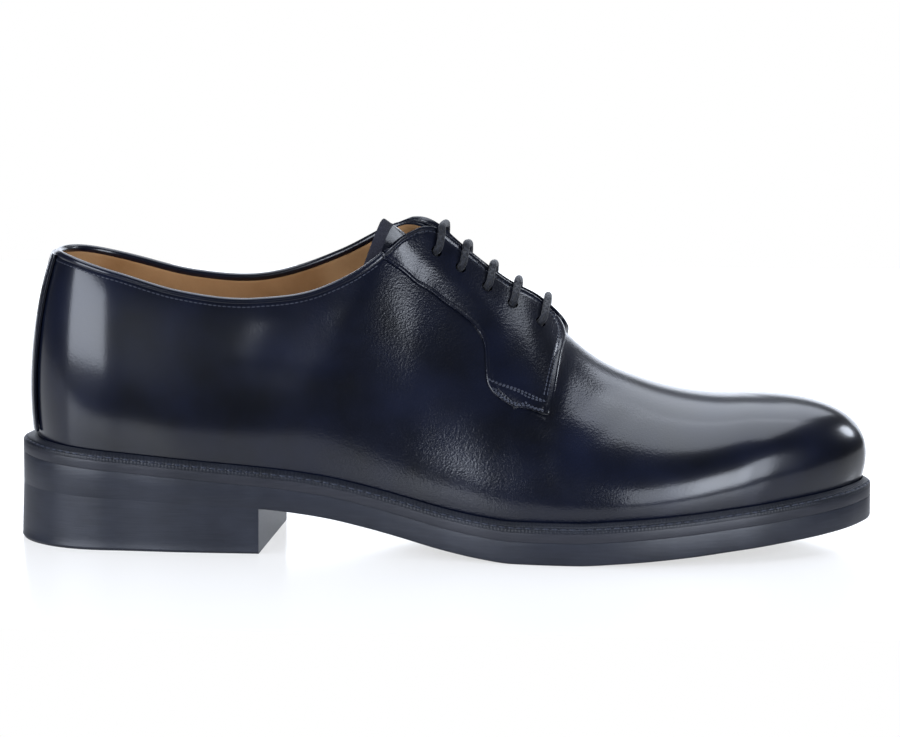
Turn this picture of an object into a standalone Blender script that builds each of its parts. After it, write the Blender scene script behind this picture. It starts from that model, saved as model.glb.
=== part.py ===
"""A plain-toe derby shoe for the right foot, standing empty on its sole.

The toe points along +X, the outer (lateral) side along -Y, and the floor is at z = 0.
Every piece is worked out from one set of ribs: half planes that stand on a spine along the shoe
and turn round a pivot at the heel and at the toe. A place is a number from 0, the back of the heel,
to 1, the tip of the toe, and side is -1 for lateral and 1 for medial.
"""

import bisect
import functools
import math

import bmesh
import bpy
from mathutils import Matrix, Vector

# Driving sizes, in metres
LENGTH = 0.302
HEEL_WIDTH = 0.0692
BALL_WIDTH = 0.1044
HEEL_LENGTH = 0.0883
HEEL_HEIGHT = 0.0200
HEEL_BREAST_HEIGHT = 0.0158
HEEL_FLARE = 0.0007
HEEL_CHAMFER = 0.0006
BREAST_SKEW = 0.0030
TOE_SPRING = 0.0090
OUTSOLE_THICKNESS = 0.0080
SEAT_WEDGE = 0.0030
SOLE_ROUNDING = 0.0012
MIDSOLE_THICKNESS = 0.0030
WELT_HEIGHT = 0.0034
WELT_EDGE = 0.0010
WELT_WIDTH = 0.0049
INSOLE_THICKNESS = 0.0030
INSOLE_GAP = 0.0010
BACK_HEIGHT = 0.0670
SIDE_HEIGHT = 0.0575
INSTEP_HEIGHT = 0.0934
THROAT_HEIGHT = 0.0603
TOE_HEIGHT = 0.0340
COLLAR_WIDTH = 0.0526
SLOT_WIDTH = 0.0150
WALL = 0.0022
LASTING_MARGIN = 0.0100
FACING_THICKNESS = 0.0013
FACING_STEP = 0.0010
STRIP_THICKNESS = 0.0011
STRIP_WIDTH = 0.0300
TONGUE_THICKNESS = 0.0024
TONGUE_WIDTH = 0.0500
TONGUE_RISE = 0.0275
TONGUE_TAPER = 0.18
TONGUE_ARCH = 0.30
LACE_DIAMETER = 0.0030
EYELET_DIAMETER = 0.0040
LACE_GAP = 0.0005
LACE_CROWN = 0.0004
TONGUE_GAP = 0.0006
CLEARANCE = 0.0003
MERGE = 0.000005

# Shapes of the sole's layers and of the strip at the back, as shares
MIDDLE_SHARE = 0.55
ROUNDING_SHARE = 0.8
WELT_CREST_SHARE = 0.25
WELT_SLOPE_SHARE = 0.45
WELT_SLOPE_HEIGHT = 0.62
STRIP_FOOT_SHARE = 0.03
STRIP_TOP_SHARE = 0.995

# How finely the pieces are divided
TRACE_STEPS = 40
UPPER_LEVELS = 9
FACING_STEPS = 20
FACING_COLUMNS = 6
STRIP_STEPS = 9
STRIP_COLUMNS = 6
PUNCH_SIDES = 10
PUNCH_LENGTH = 0.012
TONGUE_ACROSS = (1.0, 0.7, 0.4)
TONGUE_ROWS = 8
LACE_STEPS = 10
TONGUE_MIDDLE = len(TONGUE_ACROSS)
TONGUE_FRONT = 0.640
TONGUE_BACK = 0.492

# Steps between the points that give the way the upper's surface faces
WAY_PLACE_STEP = 0.004
WAY_SHARE_STEP = 0.02
LOWEST_WAY_SHARE = 0.02
HIGHEST_WAY_SHARE = 0.97

# The corner that the upper turns under the foot: inward from the foot, and up from the midsole
LAST_CORNER = (
    (LASTING_MARGIN, 0.0),
    (0.0030, 0.0),
    (0.0009, 0.0007),
    (0.0001, 0.0022),
)

# Values that follow from them
HALF_HEEL = HEEL_WIDTH / 2
HALF_BALL = BALL_WIDTH / 2
HALF_COLLAR = COLLAR_WIDTH / 2
HALF_SLOT = SLOT_WIDTH / 2
TOE_REACH = 0.868 * HALF_BALL
HEEL_PIVOT = -LENGTH / 2 + HEEL_FLARE + HALF_HEEL
TOE_PIVOT = LENGTH / 2 - TOE_REACH
BREAST = -LENGTH / 2 + HEEL_LENGTH
BREAST_SHARE = HEEL_LENGTH / LENGTH
HEEL_END = 0.16
TOE_START = 0.80
THROAT_PLACE = 0.62
WIDENING_START = 0.40
WIDENING_RUN = 0.12
HEEL_LAST_STEP = 0.004

# The sole's edge, out from the spine, and the ledge that the welt leaves outside the upper
OUTLINE = (
    ("place", "lateral", "medial", "spine", "ledge"),
    (0.00, 1.000 * HALF_HEEL, 1.000 * HALF_HEEL, 0.000, 1.08 * WELT_WIDTH),
    (0.08, 0.962 * HALF_HEEL, 0.958 * HALF_HEEL, 0.000, 0.78 * WELT_WIDTH),
    (0.16, 0.934 * HALF_HEEL, 0.922 * HALF_HEEL, 0.000, 0.61 * WELT_WIDTH),
    (0.23, 0.991 * HALF_HEEL, 0.968 * HALF_HEEL, 0.000, 0.59 * WELT_WIDTH),
    (0.31, 1.017 * HALF_HEEL, 0.936 * HALF_HEEL, 0.000, 0.59 * WELT_WIDTH),
    (0.38, 1.043 * HALF_HEEL, 0.864 * HALF_HEEL, 0.000, 0.61 * WELT_WIDTH),
    (0.44, 0.749 * HALF_BALL, 0.544 * HALF_BALL, 0.011 * HALF_BALL, 0.66 * WELT_WIDTH),
    (0.50, 0.851 * HALF_BALL, 0.580 * HALF_BALL, 0.027 * HALF_BALL, 0.78 * WELT_WIDTH),
    (0.55, 0.962 * HALF_BALL, 0.663 * HALF_BALL, 0.046 * HALF_BALL, 0.88 * WELT_WIDTH),
    (0.60, 1.046 * HALF_BALL, 0.764 * HALF_BALL, 0.067 * HALF_BALL, 0.96 * WELT_WIDTH),
    (0.65, 1.088 * HALF_BALL, 0.849 * HALF_BALL, 0.088 * HALF_BALL, 1.00 * WELT_WIDTH),
    (0.70, 1.080 * HALF_BALL, 0.895 * HALF_BALL, 0.100 * HALF_BALL, 0.98 * WELT_WIDTH),
    (0.75, 0.998 * HALF_BALL, 0.883 * HALF_BALL, 0.098 * HALF_BALL, 0.92 * WELT_WIDTH),
    (0.80, 0.871 * HALF_BALL, 0.818 * HALF_BALL, 0.086 * HALF_BALL, 0.82 * WELT_WIDTH),
    (0.85, 0.786 * HALF_BALL, 0.749 * HALF_BALL, 0.086 * HALF_BALL, 0.78 * WELT_WIDTH),
    (0.90, 0.782 * HALF_BALL, 0.742 * HALF_BALL, 0.086 * HALF_BALL, 0.73 * WELT_WIDTH),
    (0.95, 0.824 * HALF_BALL, 0.803 * HALF_BALL, 0.086 * HALF_BALL, 0.67 * WELT_WIDTH),
    (1.00, 1.000 * TOE_REACH, 1.000 * TOE_REACH, 0.086 * HALF_BALL, 0.61 * WELT_WIDTH),
)

# Height of the tread over the floor, by share of the length
TREAD = (
    ("share", "height"),
    (BREAST_SHARE, 1.00 * HEEL_BREAST_HEIGHT),
    (0.323, 0.94 * HEEL_BREAST_HEIGHT),
    (0.369, 0.82 * HEEL_BREAST_HEIGHT),
    (0.415, 0.64 * HEEL_BREAST_HEIGHT),
    (0.461, 0.43 * HEEL_BREAST_HEIGHT),
    (0.506, 0.22 * HEEL_BREAST_HEIGHT),
    (0.552, 0.07 * HEEL_BREAST_HEIGHT),
    (0.590, 0.0),
    (0.662, 0.0),
    (0.713, 0.09 * TOE_SPRING),
    (0.793, 0.28 * TOE_SPRING),
    (0.850, 0.47 * TOE_SPRING),
    (0.943, 0.79 * TOE_SPRING),
    (1.000, 1.00 * TOE_SPRING),
)

# Where each rib of the upper ends: out from the spine, and up from the welt
TOP = (
    ("place", "lateral_out", "lateral_up", "medial_out", "medial_up"),
    (0.000, 0.85 * HALF_COLLAR, 1.00 * BACK_HEIGHT, 0.85 * HALF_COLLAR, 1.00 * BACK_HEIGHT),
    (0.080, 0.87 * HALF_COLLAR, 0.99 * BACK_HEIGHT, 0.87 * HALF_COLLAR, 0.99 * BACK_HEIGHT),
    (0.160, 0.89 * HALF_COLLAR, 1.08 * SIDE_HEIGHT, 0.89 * HALF_COLLAR, 1.09 * SIDE_HEIGHT),
    (0.230, 0.97 * HALF_COLLAR, 1.00 * SIDE_HEIGHT, 0.97 * HALF_COLLAR, 1.02 * SIDE_HEIGHT),
    (0.310, 1.00 * HALF_COLLAR, 1.00 * SIDE_HEIGHT, 0.97 * HALF_COLLAR, 1.05 * SIDE_HEIGHT),
    (0.380, 0.98 * HALF_COLLAR, 1.13 * SIDE_HEIGHT, 0.93 * HALF_COLLAR, 1.24 * SIDE_HEIGHT),
    (0.440, 0.82 * HALF_COLLAR, 0.875 * INSTEP_HEIGHT, 0.74 * HALF_COLLAR, 0.925 * INSTEP_HEIGHT),
    (0.455, 2.36 * HALF_SLOT, 0.940 * INSTEP_HEIGHT, 1.98 * HALF_SLOT, 0.963 * INSTEP_HEIGHT),
    (0.470, 1.73 * HALF_SLOT, 0.978 * INSTEP_HEIGHT, 1.45 * HALF_SLOT, 0.976 * INSTEP_HEIGHT),
    (0.484, 1.28 * HALF_SLOT, 0.983 * INSTEP_HEIGHT, 1.16 * HALF_SLOT, 0.964 * INSTEP_HEIGHT),
    (0.500, 1.03 * HALF_SLOT, 0.948 * INSTEP_HEIGHT, 1.00 * HALF_SLOT, 0.925 * INSTEP_HEIGHT),
    (0.550, 0.84 * HALF_SLOT, 0.828 * INSTEP_HEIGHT, 0.84 * HALF_SLOT, 0.810 * INSTEP_HEIGHT),
    (0.590, 0.64 * HALF_SLOT, 1.148 * THROAT_HEIGHT, 0.64 * HALF_SLOT, 1.135 * THROAT_HEIGHT),
    (0.607, 0.42 * HALF_SLOT, 1.050 * THROAT_HEIGHT, 0.42 * HALF_SLOT, 1.050 * THROAT_HEIGHT),
    (0.620, 0.0, 0.970 * THROAT_HEIGHT, 0.0, 0.970 * THROAT_HEIGHT),
    (0.650, 0.0, 0.824 * THROAT_HEIGHT, 0.0, 0.824 * THROAT_HEIGHT),
    (0.700, 0.0, 1.205 * TOE_HEIGHT, 0.0, 1.205 * TOE_HEIGHT),
    (0.750, 0.0, 1.050 * TOE_HEIGHT, 0.0, 1.050 * TOE_HEIGHT),
    (0.800, 0.0, 0.990 * TOE_HEIGHT, 0.0, 0.990 * TOE_HEIGHT),
)

# The pull points of each rib's curve: lower one from the foot, upper one from the end
SECTIONS = (
    ("place", "bulge_l", "rise_l", "pull_l", "drop_l", "bulge_m", "rise_m", "pull_m", "drop_m"),
    (0.00, 0.074, 0.29, 0.202, 0.30, 0.074, 0.29, 0.202, 0.30),
    (0.08, 0.087, 0.26, 0.22, 0.30, 0.087, 0.26, 0.22, 0.30),
    (0.16, 0.121, 0.27, 0.24, 0.31, 0.125, 0.27, 0.24, 0.31),
    (0.23, 0.110, 0.29, 0.21, 0.29, 0.121, 0.28, 0.22, 0.29),
    (0.31, 0.121, 0.28, 0.22, 0.28, 0.188, 0.25, 0.25, 0.28),
    (0.38, 0.145, 0.25, 0.29, 0.32, 0.260, 0.21, 0.32, 0.33),
    (0.44, 0.135, 0.21, 0.30, 0.33, 0.318, 0.18, 0.36, 0.32),
    (0.50, 0.118, 0.20, 0.40, 0.20, 0.230, 0.19, 0.40, 0.19),
    (0.55, 0.125, 0.23, 0.40, 0.125, 0.192, 0.22, 0.36, 0.12),
    (0.60, 0.121, 0.27, 0.42, 0.07, 0.144, 0.25, 0.38, 0.06),
    (0.65, 0.119, 0.35, 0.50, 0.01, 0.125, 0.33, 0.44, 0.01),
    (0.70, 0.115, 0.40, 0.52, 0.0, 0.115, 0.40, 0.48, 0.0),
    (0.75, 0.111, 0.48, 0.52, 0.0, 0.111, 0.48, 0.48, 0.0),
    (0.80, 0.111, 0.56, 0.52, 0.0, 0.107, 0.56, 0.49, 0.0),
    (0.90, 0.107, 0.60, 0.54, 0.0, 0.107, 0.60, 0.54, 0.0),
    (1.00, 0.130, 0.61, 0.612, -0.02, 0.130, 0.61, 0.612, -0.02),
)

# Edges of a facing panel from its top corner down: place and share of the rib, behind and in front
FACING = (
    ("step", "rear_place", "rear_share", "front_place", "front_share"),
    (0.00, 0.4371, 0.985, 0.4385, 1.000),
    (0.08, 0.4541, 0.871, 0.4580, 1.000),
    (0.18, 0.4736, 0.778, 0.4800, 1.000),
    (0.30, 0.4936, 0.748, 0.5060, 1.000),
    (0.42, 0.5140, 0.736, 0.5330, 1.000),
    (0.54, 0.5263, 0.725, 0.5600, 1.000),
    (0.64, 0.5358, 0.698, 0.5860, 1.000),
    (0.72, 0.5403, 0.658, 0.6060, 0.990),
    (0.80, 0.5419, 0.600, 0.6141, 0.890),
    (0.86, 0.5437, 0.531, 0.6120, 0.765),
    (0.92, 0.5481, 0.498, 0.6100, 0.650),
    (0.96, 0.5543, 0.479, 0.6085, 0.560),
    (1.00, 0.5700, 0.452, 0.6052, 0.449),
)

# Places of the eyelets along the slot, and their share of the rib
EYELETS = (
    ("number", "place", "share"),
    (1, 0.4868, 0.911),
    (2, 0.5109, 0.909),
    (3, 0.5379, 0.905),
    (4, 0.5642, 0.895),
    (5, 0.5915, 0.868),
)


def smooth_curve(places, values, overshoot=True, level_ends=False):
    """A function that runs smoothly through the rows. Without overshoot it stays between them."""
    gaps = [b - a for a, b in zip(places, places[1:])]
    rises = [(b - a) / gap for a, b, gap in zip(values, values[1:], gaps)]
    slopes = [rises[0]]
    for i in range(1, len(gaps)):
        before, after = rises[i - 1], rises[i]
        if not overshoot and before * after <= 0:
            slopes.append(0.0)
        elif not overshoot:
            slopes.append(2 * before * after / (before + after))
        else:
            slopes.append((before * gaps[i] + after * gaps[i - 1]) / (gaps[i] + gaps[i - 1]))
    slopes.append(rises[-1])
    if level_ends:
        slopes[0] = slopes[-1] = 0.0

    def at(place):
        place = min(max(place, places[0]), places[-1])
        i = 0
        while i < len(gaps) - 1 and place > places[i + 1]:
            i += 1
        s = (place - places[i]) / gaps[i]
        return (
            values[i] * (1 + 2 * s) * (1 - s) ** 2
            + slopes[i] * gaps[i] * s * (1 - s) ** 2
            + values[i + 1] * s * s * (3 - 2 * s)
            + slopes[i + 1] * gaps[i] * s * s * (s - 1)
        )

    return at


def columns(table, overshoot=True, level_ends=False):
    """The columns of a table by name, each as a smooth function of its first column."""
    names, rows = table[0], table[1:]
    places = [row[0] for row in rows]
    return {
        name: smooth_curve(places, [row[i] for row in rows], overshoot, level_ends)
        for i, name in enumerate(names)
        if i
    }


outline = columns(OUTLINE, level_ends=True)
tread = columns(TREAD, overshoot=False)
top = columns(TOP, level_ends=True)
section = columns(SECTIONS, level_ends=True)
facing = columns(FACING, overshoot=False)
eyelet = columns(EYELETS)


def side_name(side):
    return "lateral" if side < 0 else "medial"


def rib(place, side):
    """Where a rib stands on the spine, and the way it runs out."""
    if place <= HEEL_END:
        turn = math.pi / 2 * place / HEEL_END
        return (HEEL_PIVOT, outline["spine"](HEEL_END)), (-math.cos(turn), side * math.sin(turn))
    if place >= TOE_START:
        turn = math.pi / 2 * (place - TOE_START) / (1 - TOE_START)
        return (TOE_PIVOT, outline["spine"](TOE_START)), (math.sin(turn), side * math.cos(turn))
    along = (place - HEEL_END) / (TOE_START - HEEL_END)
    return (HEEL_PIVOT + (TOE_PIVOT - HEEL_PIVOT) * along, outline["spine"](place)), (0.0, side)


def place_of(x):
    """The place of the rib that stands at this x between the two pivots."""
    return HEEL_END + (TOE_START - HEEL_END) * (x - HEEL_PIVOT) / (TOE_PIVOT - HEEL_PIVOT)


def rib_point(place, side, out, height):
    (x, y), (run_x, run_y) = rib(place, side)
    return Vector((x + run_x * out, y + run_y * out, height))


def reach(place, side):
    """How far the sole's edge lies from the spine."""
    return outline[side_name(side)](place)


def foot_reach(place, side):
    """How far the foot of the upper lies from the spine."""
    return reach(place, side) - outline["ledge"](place)


def heel_part(x):
    """1 at the back of the heel, 0 from its breast on."""
    return max(0.0, 1 - (x + LENGTH / 2) / HEEL_LENGTH)


def tread_height(x):
    """The underside of the outsole. Over the heel it is a slanting plane."""
    if x < BREAST:
        return HEEL_BREAST_HEIGHT + (HEEL_HEIGHT - HEEL_BREAST_HEIGHT) * heel_part(x)
    return tread["height"]((x + LENGTH / 2) / LENGTH)


def outsole_top(x):
    return tread_height(x) + OUTSOLE_THICKNESS + SEAT_WEDGE * heel_part(x)


def midsole_top(x):
    return outsole_top(x) + CLEARANCE + MIDSOLE_THICKNESS


def welt_top(x):
    return midsole_top(x) + WELT_HEIGHT


def x_at(place, side, out):
    return rib_point(place, side, out, 0.0).x


def half_width(place):
    """Half the heel's width behind, half the ball's width in front, and a smooth change between them."""
    s = min(max((place - WIDENING_START) / WIDENING_RUN, 0.0), 1.0)
    return HALF_HEEL + (HALF_BALL - HALF_HEEL) * s * s * (3 - 2 * s)


def rib_curve(place, side):
    """The four points of the curve that an upper's rib follows, as (out, height)."""
    tail = "_l" if side < 0 else "_m"
    foot = foot_reach(place, side)
    foot_height = welt_top(x_at(place, side, foot))
    end = 0.0 if place >= THROAT_PLACE else top[side_name(side) + "_out"](place)
    rise = top[side_name(side) + "_up"](place)
    end_height = welt_top(x_at(place, side, 0.0)) + rise
    low_out = foot + section["bulge" + tail](place) * half_width(place)
    low_height = foot_height + section["rise" + tail](place) * rise
    high_out = end + section["pull" + tail](place) * half_width(place)
    high_height = end_height - section["drop" + tail](place) * rise
    return (foot, foot_height), (low_out, low_height), (high_out, high_height), (end, end_height)


@functools.lru_cache(maxsize=None)
def rib_trace(place, side):
    """The rib's curve as close points, with the share of its length at each."""
    (a, b, c, d), points = rib_curve(place, side), []
    for i in range(TRACE_STEPS + 1):
        s = i / TRACE_STEPS
        weights = ((1 - s) ** 3, 3 * s * (1 - s) ** 2, 3 * s * s * (1 - s), s**3)
        points.append([sum(w * p[k] for w, p in zip(weights, (a, b, c, d))) for k in (0, 1)])
    shares = [0.0]
    for p, q in zip(points, points[1:]):
        shares.append(shares[-1] + math.dist(p, q))
    return points, [share / shares[-1] for share in shares]


def rib_length(place, side):
    points, _ = rib_trace(place, side)
    return sum(math.dist(p, q) for p, q in zip(points, points[1:]))


def upper_point(place, side, share):
    """A point of the upper's outer surface, share of the way up its rib."""
    points, shares = rib_trace(place, side)
    i = min(max(bisect.bisect_right(shares, share) - 1, 0), TRACE_STEPS - 1)
    s = (share - shares[i]) / (shares[i + 1] - shares[i])
    out, height = (points[i][k] + (points[i + 1][k] - points[i][k]) * s for k in (0, 1))
    return rib_point(place, side, out, height)


def upper_normal(place, side, share):
    """The way that the upper's outer surface faces at a point."""
    share = min(max(share, LOWEST_WAY_SHARE), HIGHEST_WAY_SHARE)
    ahead = upper_point(place + WAY_PLACE_STEP, side, share)
    behind = upper_point(place - WAY_PLACE_STEP, side, share)
    above = upper_point(place, side, share + WAY_SHARE_STEP)
    below = upper_point(place, side, share - WAY_SHARE_STEP)
    return ((above - below).cross(ahead - behind) * side).normalized()


def over_upper(place, side, share, out):
    """A point that stands out from the upper's outer surface."""
    if place < 0:
        place, side = -place, -side
    return upper_point(place, side, share) + upper_normal(place, side, share) * out


def spread(low, high, count):
    return [low + (high - low) * i / count for i in range(count + 1)]


RIB_PLACES = (
    spread(0.0, HEEL_END, 7)
    + spread(HEEL_END, 0.44, 10)[1:]
    + spread(0.44, 0.50, 5)[1:]
    + spread(0.50, 0.59, 7)[1:]
    + spread(0.59, THROAT_PLACE, 3)[1:]
    + spread(THROAT_PLACE, TOE_START, 7)[1:]
    + spread(TOE_START, 1.0, 9)[1:]
)
RIBS = [(place, -1) for place in RIB_PLACES] + [(place, 1) for place in RIB_PLACES[-2:0:-1]]


def new_material(name, colour, roughness, metallic=0.0):
    material = bpy.data.materials.new(name)
    material.use_nodes = True
    shader = material.node_tree.nodes["Principled BSDF"]
    shader.inputs["Base Color"].default_value = (*colour, 1.0)
    shader.inputs["Roughness"].default_value = roughness
    shader.inputs["Metallic"].default_value = metallic
    material.diffuse_color = (*colour, 1.0)
    return material


def add_object(name, bm, material, collection):
    """A mesh object from a bmesh, with its doubles merged and its faces turned out."""
    bmesh.ops.remove_doubles(bm, verts=bm.verts, dist=MERGE)
    bmesh.ops.dissolve_degenerate(bm, edges=bm.edges, dist=MERGE)
    bmesh.ops.recalc_face_normals(bm, faces=bm.faces)
    mesh = bpy.data.meshes.new(name)
    bm.to_mesh(mesh)
    bm.free()
    mesh.shade_smooth()
    mesh.set_sharp_from_angle(angle=math.radians(40))
    mesh.materials.append(material)
    obj = bpy.data.objects.new(name, mesh)
    collection.objects.link(obj)
    return obj


def bridge(bm, rows, round_trip=False):
    """Quads between each row of points and the next, and from the last to the first on a round trip."""
    rows = [[bm.verts.new(point) for point in row] for row in rows]
    pairs = list(zip(rows, rows[1:]))
    if round_trip:
        pairs.append((rows[-1], rows[0]))
    for row, after in pairs:
        for i in range(len(row) - 1):
            bm.faces.new((row[i], row[i + 1], after[i + 1], after[i]))
    return rows


def ribbed_solid(name, profile, material, collection, ring=False):
    """A solid that goes all the way round. The profile gives each rib's (out, height) points, from the
    spine's top to its underside, or as a loop where the solid is a ring."""
    bm = bmesh.new()
    rows = []
    for place, side in RIBS:
        points = [rib_point(place, side, out, height) for out, height in profile(place, side)]
        rows.append(points + points[:1] if ring else points)
    bridge(bm, rows, round_trip=True)
    return add_object(name, bm, material, collection)


def panel_solid(name, outer, inner, material, collection):
    """A closed sheet between two grids of points of the same size."""
    bm = bmesh.new()
    front = bridge(bm, outer)
    back = bridge(bm, inner)
    rim = front[0] + [row[-1] for row in front[1:]] + front[-1][-2::-1] + [row[0] for row in front[-2:0:-1]]
    hem = back[0] + [row[-1] for row in back[1:]] + back[-1][-2::-1] + [row[0] for row in back[-2:0:-1]]
    for i in range(len(rim)):
        after = (i + 1) % len(rim)
        bm.faces.new((rim[i], rim[after], hem[after], hem[i]))
    return add_object(name, bm, material, collection)


def slab_profile(height_low, height_high, rounding=0.0):
    """The ribs of a layer of the sole, between two heights that follow x."""

    def profile(place, side):
        edge = reach(place, side)
        middle = MIDDLE_SHARE * edge
        points = [(out, height_high(x_at(place, side, out))) for out in (0.0, middle, edge)]
        if rounding:
            points.append((edge, height_low(x_at(place, side, edge)) + rounding))
        low_edge = edge - ROUNDING_SHARE * rounding
        points += [(out, height_low(x_at(place, side, out))) for out in (low_edge, middle, 0.0)]
        return points

    return profile


def make_outsole(material, collection):
    profile = slab_profile(tread_height, outsole_top, rounding=SOLE_ROUNDING)
    return ribbed_solid("outsole", profile, material, collection)


def make_midsole(material, collection):
    profile = slab_profile(lambda x: outsole_top(x) + CLEARANCE, midsole_top)
    return ribbed_solid("midsole", profile, material, collection)


def make_welt(material, collection):
    """A bevelled strip: it hugs the upper's foot, and its top slopes down to a thin outer edge."""

    def profile(place, side):
        inner, outer = foot_reach(place, side) + CLEARANCE, reach(place, side)
        width = outer - inner
        base = [midsole_top(x_at(place, side, out)) + CLEARANCE for out in (inner, outer)]
        crest = WELT_HEIGHT - CLEARANCE
        slope = base[1] + WELT_SLOPE_HEIGHT * crest
        return (
            (inner, base[0]),
            (outer, base[1]),
            (outer, base[1] + WELT_EDGE),
            (outer - WELT_SLOPE_SHARE * width, slope),
            (inner + WELT_CREST_SHARE * width, base[0] + crest),
            (inner, base[0] + crest),
        )

    return ribbed_solid("welt", profile, material, collection, ring=True)


def make_insole(material, collection):
    def low(x):
        return midsole_top(x) + WALL + 2 * CLEARANCE

    def profile(place, side):
        edge = foot_reach(place, side) - WALL - INSOLE_GAP
        heights = [(out, low(x_at(place, side, out))) for out in (0.0, edge)]
        above = [(out, height + INSOLE_THICKNESS) for out, height in heights]
        return above + heights[::-1]

    return ribbed_solid("insole", profile, material, collection)


def make_heel(material, collection):
    """The heel block: the sole's outline behind the breast, flat underneath."""
    loop = []
    for side in (-1, 1):
        last = place_of(BREAST + (BREAST_SKEW if side > 0 else 0.0))
        places = [place for place in RIB_PLACES if place < last - HEEL_LAST_STEP] + [last]
        loop.append([(place, side) for place in places])
    outline_loop = loop[0][::-1] + loop[1][1:]
    bm = bmesh.new()
    rings = []
    for flare, chamfer, on_floor in ((0.0, 0.0, False), (1.0, 0.0, True), (1.0, 1.0, True)):
        ring = []
        for place, side in outline_loop:
            out = reach(place, side) + flare * HEEL_FLARE - chamfer * HEEL_CHAMFER
            top_height = tread_height(x_at(place, side, out)) - CLEARANCE
            low_height = HEEL_CHAMFER * (1 - chamfer)
            ring.append(rib_point(place, side, out, low_height if on_floor else top_height))
        rings.append(ring)
    rows = bridge(bm, [ring + ring[:1] for ring in rings])
    bm.faces.new([vert for vert in rows[0][:-1]])
    bm.faces.new([vert for vert in rows[-1][:-1]])
    return add_object("heel", bm, material, collection)


def upper_levels(place, side):
    """The points of a rib of the upper, from the lasting margin under the foot up to its end."""
    foot = foot_reach(place, side)
    points = []
    for inward, lift in LAST_CORNER:
        out = foot - inward
        points.append(rib_point(place, side, out, midsole_top(x_at(place, side, out)) + CLEARANCE + lift))
    for share in spread(0.0, 1.0, UPPER_LEVELS):
        points.append(upper_point(place, side, share))
    return points


def make_upper(material, collection):
    bm = bmesh.new()
    bridge(bm, [upper_levels(place, side) for place, side in RIBS], round_trip=True)
    upper = add_object("upper", bm, material, collection)
    if upper.data.polygons[0].normal.z > 0:
        upper.data.flip_normals()
    wall = upper.modifiers.new("wall", "SOLIDIFY")
    wall.thickness = WALL
    wall.offset = -1
    wall.use_even_offset = True
    wall.use_quality_normals = True
    return upper


def facing_edges(step):
    rear = facing["rear_place"](step), facing["rear_share"](step)
    front = facing["front_place"](step), facing["front_share"](step)
    return rear, front


def make_facing(side, material, collection):
    """The eyestay panel. It starts level behind and stands higher over the vamp in front."""
    outer, inner = [], []
    for step in spread(0.0, 1.0, FACING_STEPS):
        (rear_place, rear_share), (front_place, front_share) = facing_edges(step)
        outer_row, inner_row = [], []
        for across in spread(0.0, 1.0, FACING_COLUMNS):
            place = rear_place + (front_place - rear_place) * across
            share = rear_share + (front_share - rear_share) * across
            thickness = FACING_THICKNESS + FACING_STEP * across * across
            inner_row.append(over_upper(place, side, share, CLEARANCE))
            outer_row.append(over_upper(place, side, share, CLEARANCE + thickness))
        outer.append(outer_row)
        inner.append(inner_row)
    return panel_solid("facing_" + side_name(side), outer, inner, material, collection)


def make_back_strip(material, collection):
    half_turn = STRIP_WIDTH / 2 / (HALF_HEEL * math.pi / 2) * HEEL_END
    outer, inner = [], []
    for share in spread(STRIP_FOOT_SHARE, STRIP_TOP_SHARE, STRIP_STEPS):
        places = spread(-half_turn, half_turn, STRIP_COLUMNS)
        inner.append([over_upper(place, 1, share, CLEARANCE) for place in places])
        outer.append([over_upper(place, 1, share, CLEARANCE + STRIP_THICKNESS) for place in places])
    return panel_solid("back_strip", outer, inner, material, collection)


def make_punches(collection):
    """The cutters of the eyelets: a round punch through the facing at each of them."""
    bm = bmesh.new()
    for _, place, share in EYELETS[1:]:
        for side in (-1, 1):
            centre = over_upper(place, side, share, 0.0)
            turn = upper_normal(place, side, share).to_track_quat("Z", "Y").to_matrix().to_4x4()
            bmesh.ops.create_cone(
                bm,
                cap_ends=True,
                segments=PUNCH_SIDES,
                radius1=EYELET_DIAMETER / 2,
                radius2=EYELET_DIAMETER / 2,
                depth=PUNCH_LENGTH,
                matrix=Matrix.Translation(centre) @ turn,
            )
    mesh = bpy.data.meshes.new("eyelet_punches")
    bm.to_mesh(mesh)
    bm.free()
    punches = bpy.data.objects.new("eyelet_punches", mesh)
    punches.hide_render = True
    punches.display_type = "WIRE"
    collection.objects.link(punches)
    return punches


def punch(obj, punches):
    holes = obj.modifiers.new("eyelets", "BOOLEAN")
    holes.operation = "DIFFERENCE"
    holes.solver = "EXACT"
    holes.object = punches


def tongue_row(place, depth):
    """A row of points across the tongue, under the upper, and across the slot at its middle."""
    row = []
    for side in (-1, 1):
        half = []
        for across in TONGUE_ACROSS:
            share = 1 - across * TONGUE_WIDTH / 2 / rib_length(place, side)
            half.append(over_upper(place, side, share, -depth))
        row += half if side < 0 else half[::-1]
    half = len(row) // 2
    return row[:half] + [(row[half - 1] + row[half]) / 2] + row[half:]


def make_tongue(material, collection):
    """The tongue lies under the throat and runs on past it in a straight line."""
    grids = []
    for depth in (WALL + TONGUE_GAP, WALL + TONGUE_GAP + TONGUE_THICKNESS):
        rows = [tongue_row(place, depth) for place in spread(TONGUE_FRONT, TONGUE_BACK, TONGUE_ROWS)]
        way = (rows[-1][TONGUE_MIDDLE] - rows[-2][TONGUE_MIDDLE]).normalized()
        last = rows[TONGUE_ROWS]
        middle = last[TONGUE_MIDDLE]
        for run in (0.5, 1.0):
            row = []
            for point in last:
                arch = 1 - TONGUE_ARCH * ((point - middle).length / (TONGUE_WIDTH / 2)) ** 2
                narrow = 1 - TONGUE_TAPER * run
                row.append(middle + (point - middle) * narrow + way * TONGUE_RISE * run * arch)
            rows.append(row)
        grids.append(rows)
    return panel_solid("tongue", grids[0], grids[1], material, collection)


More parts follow.
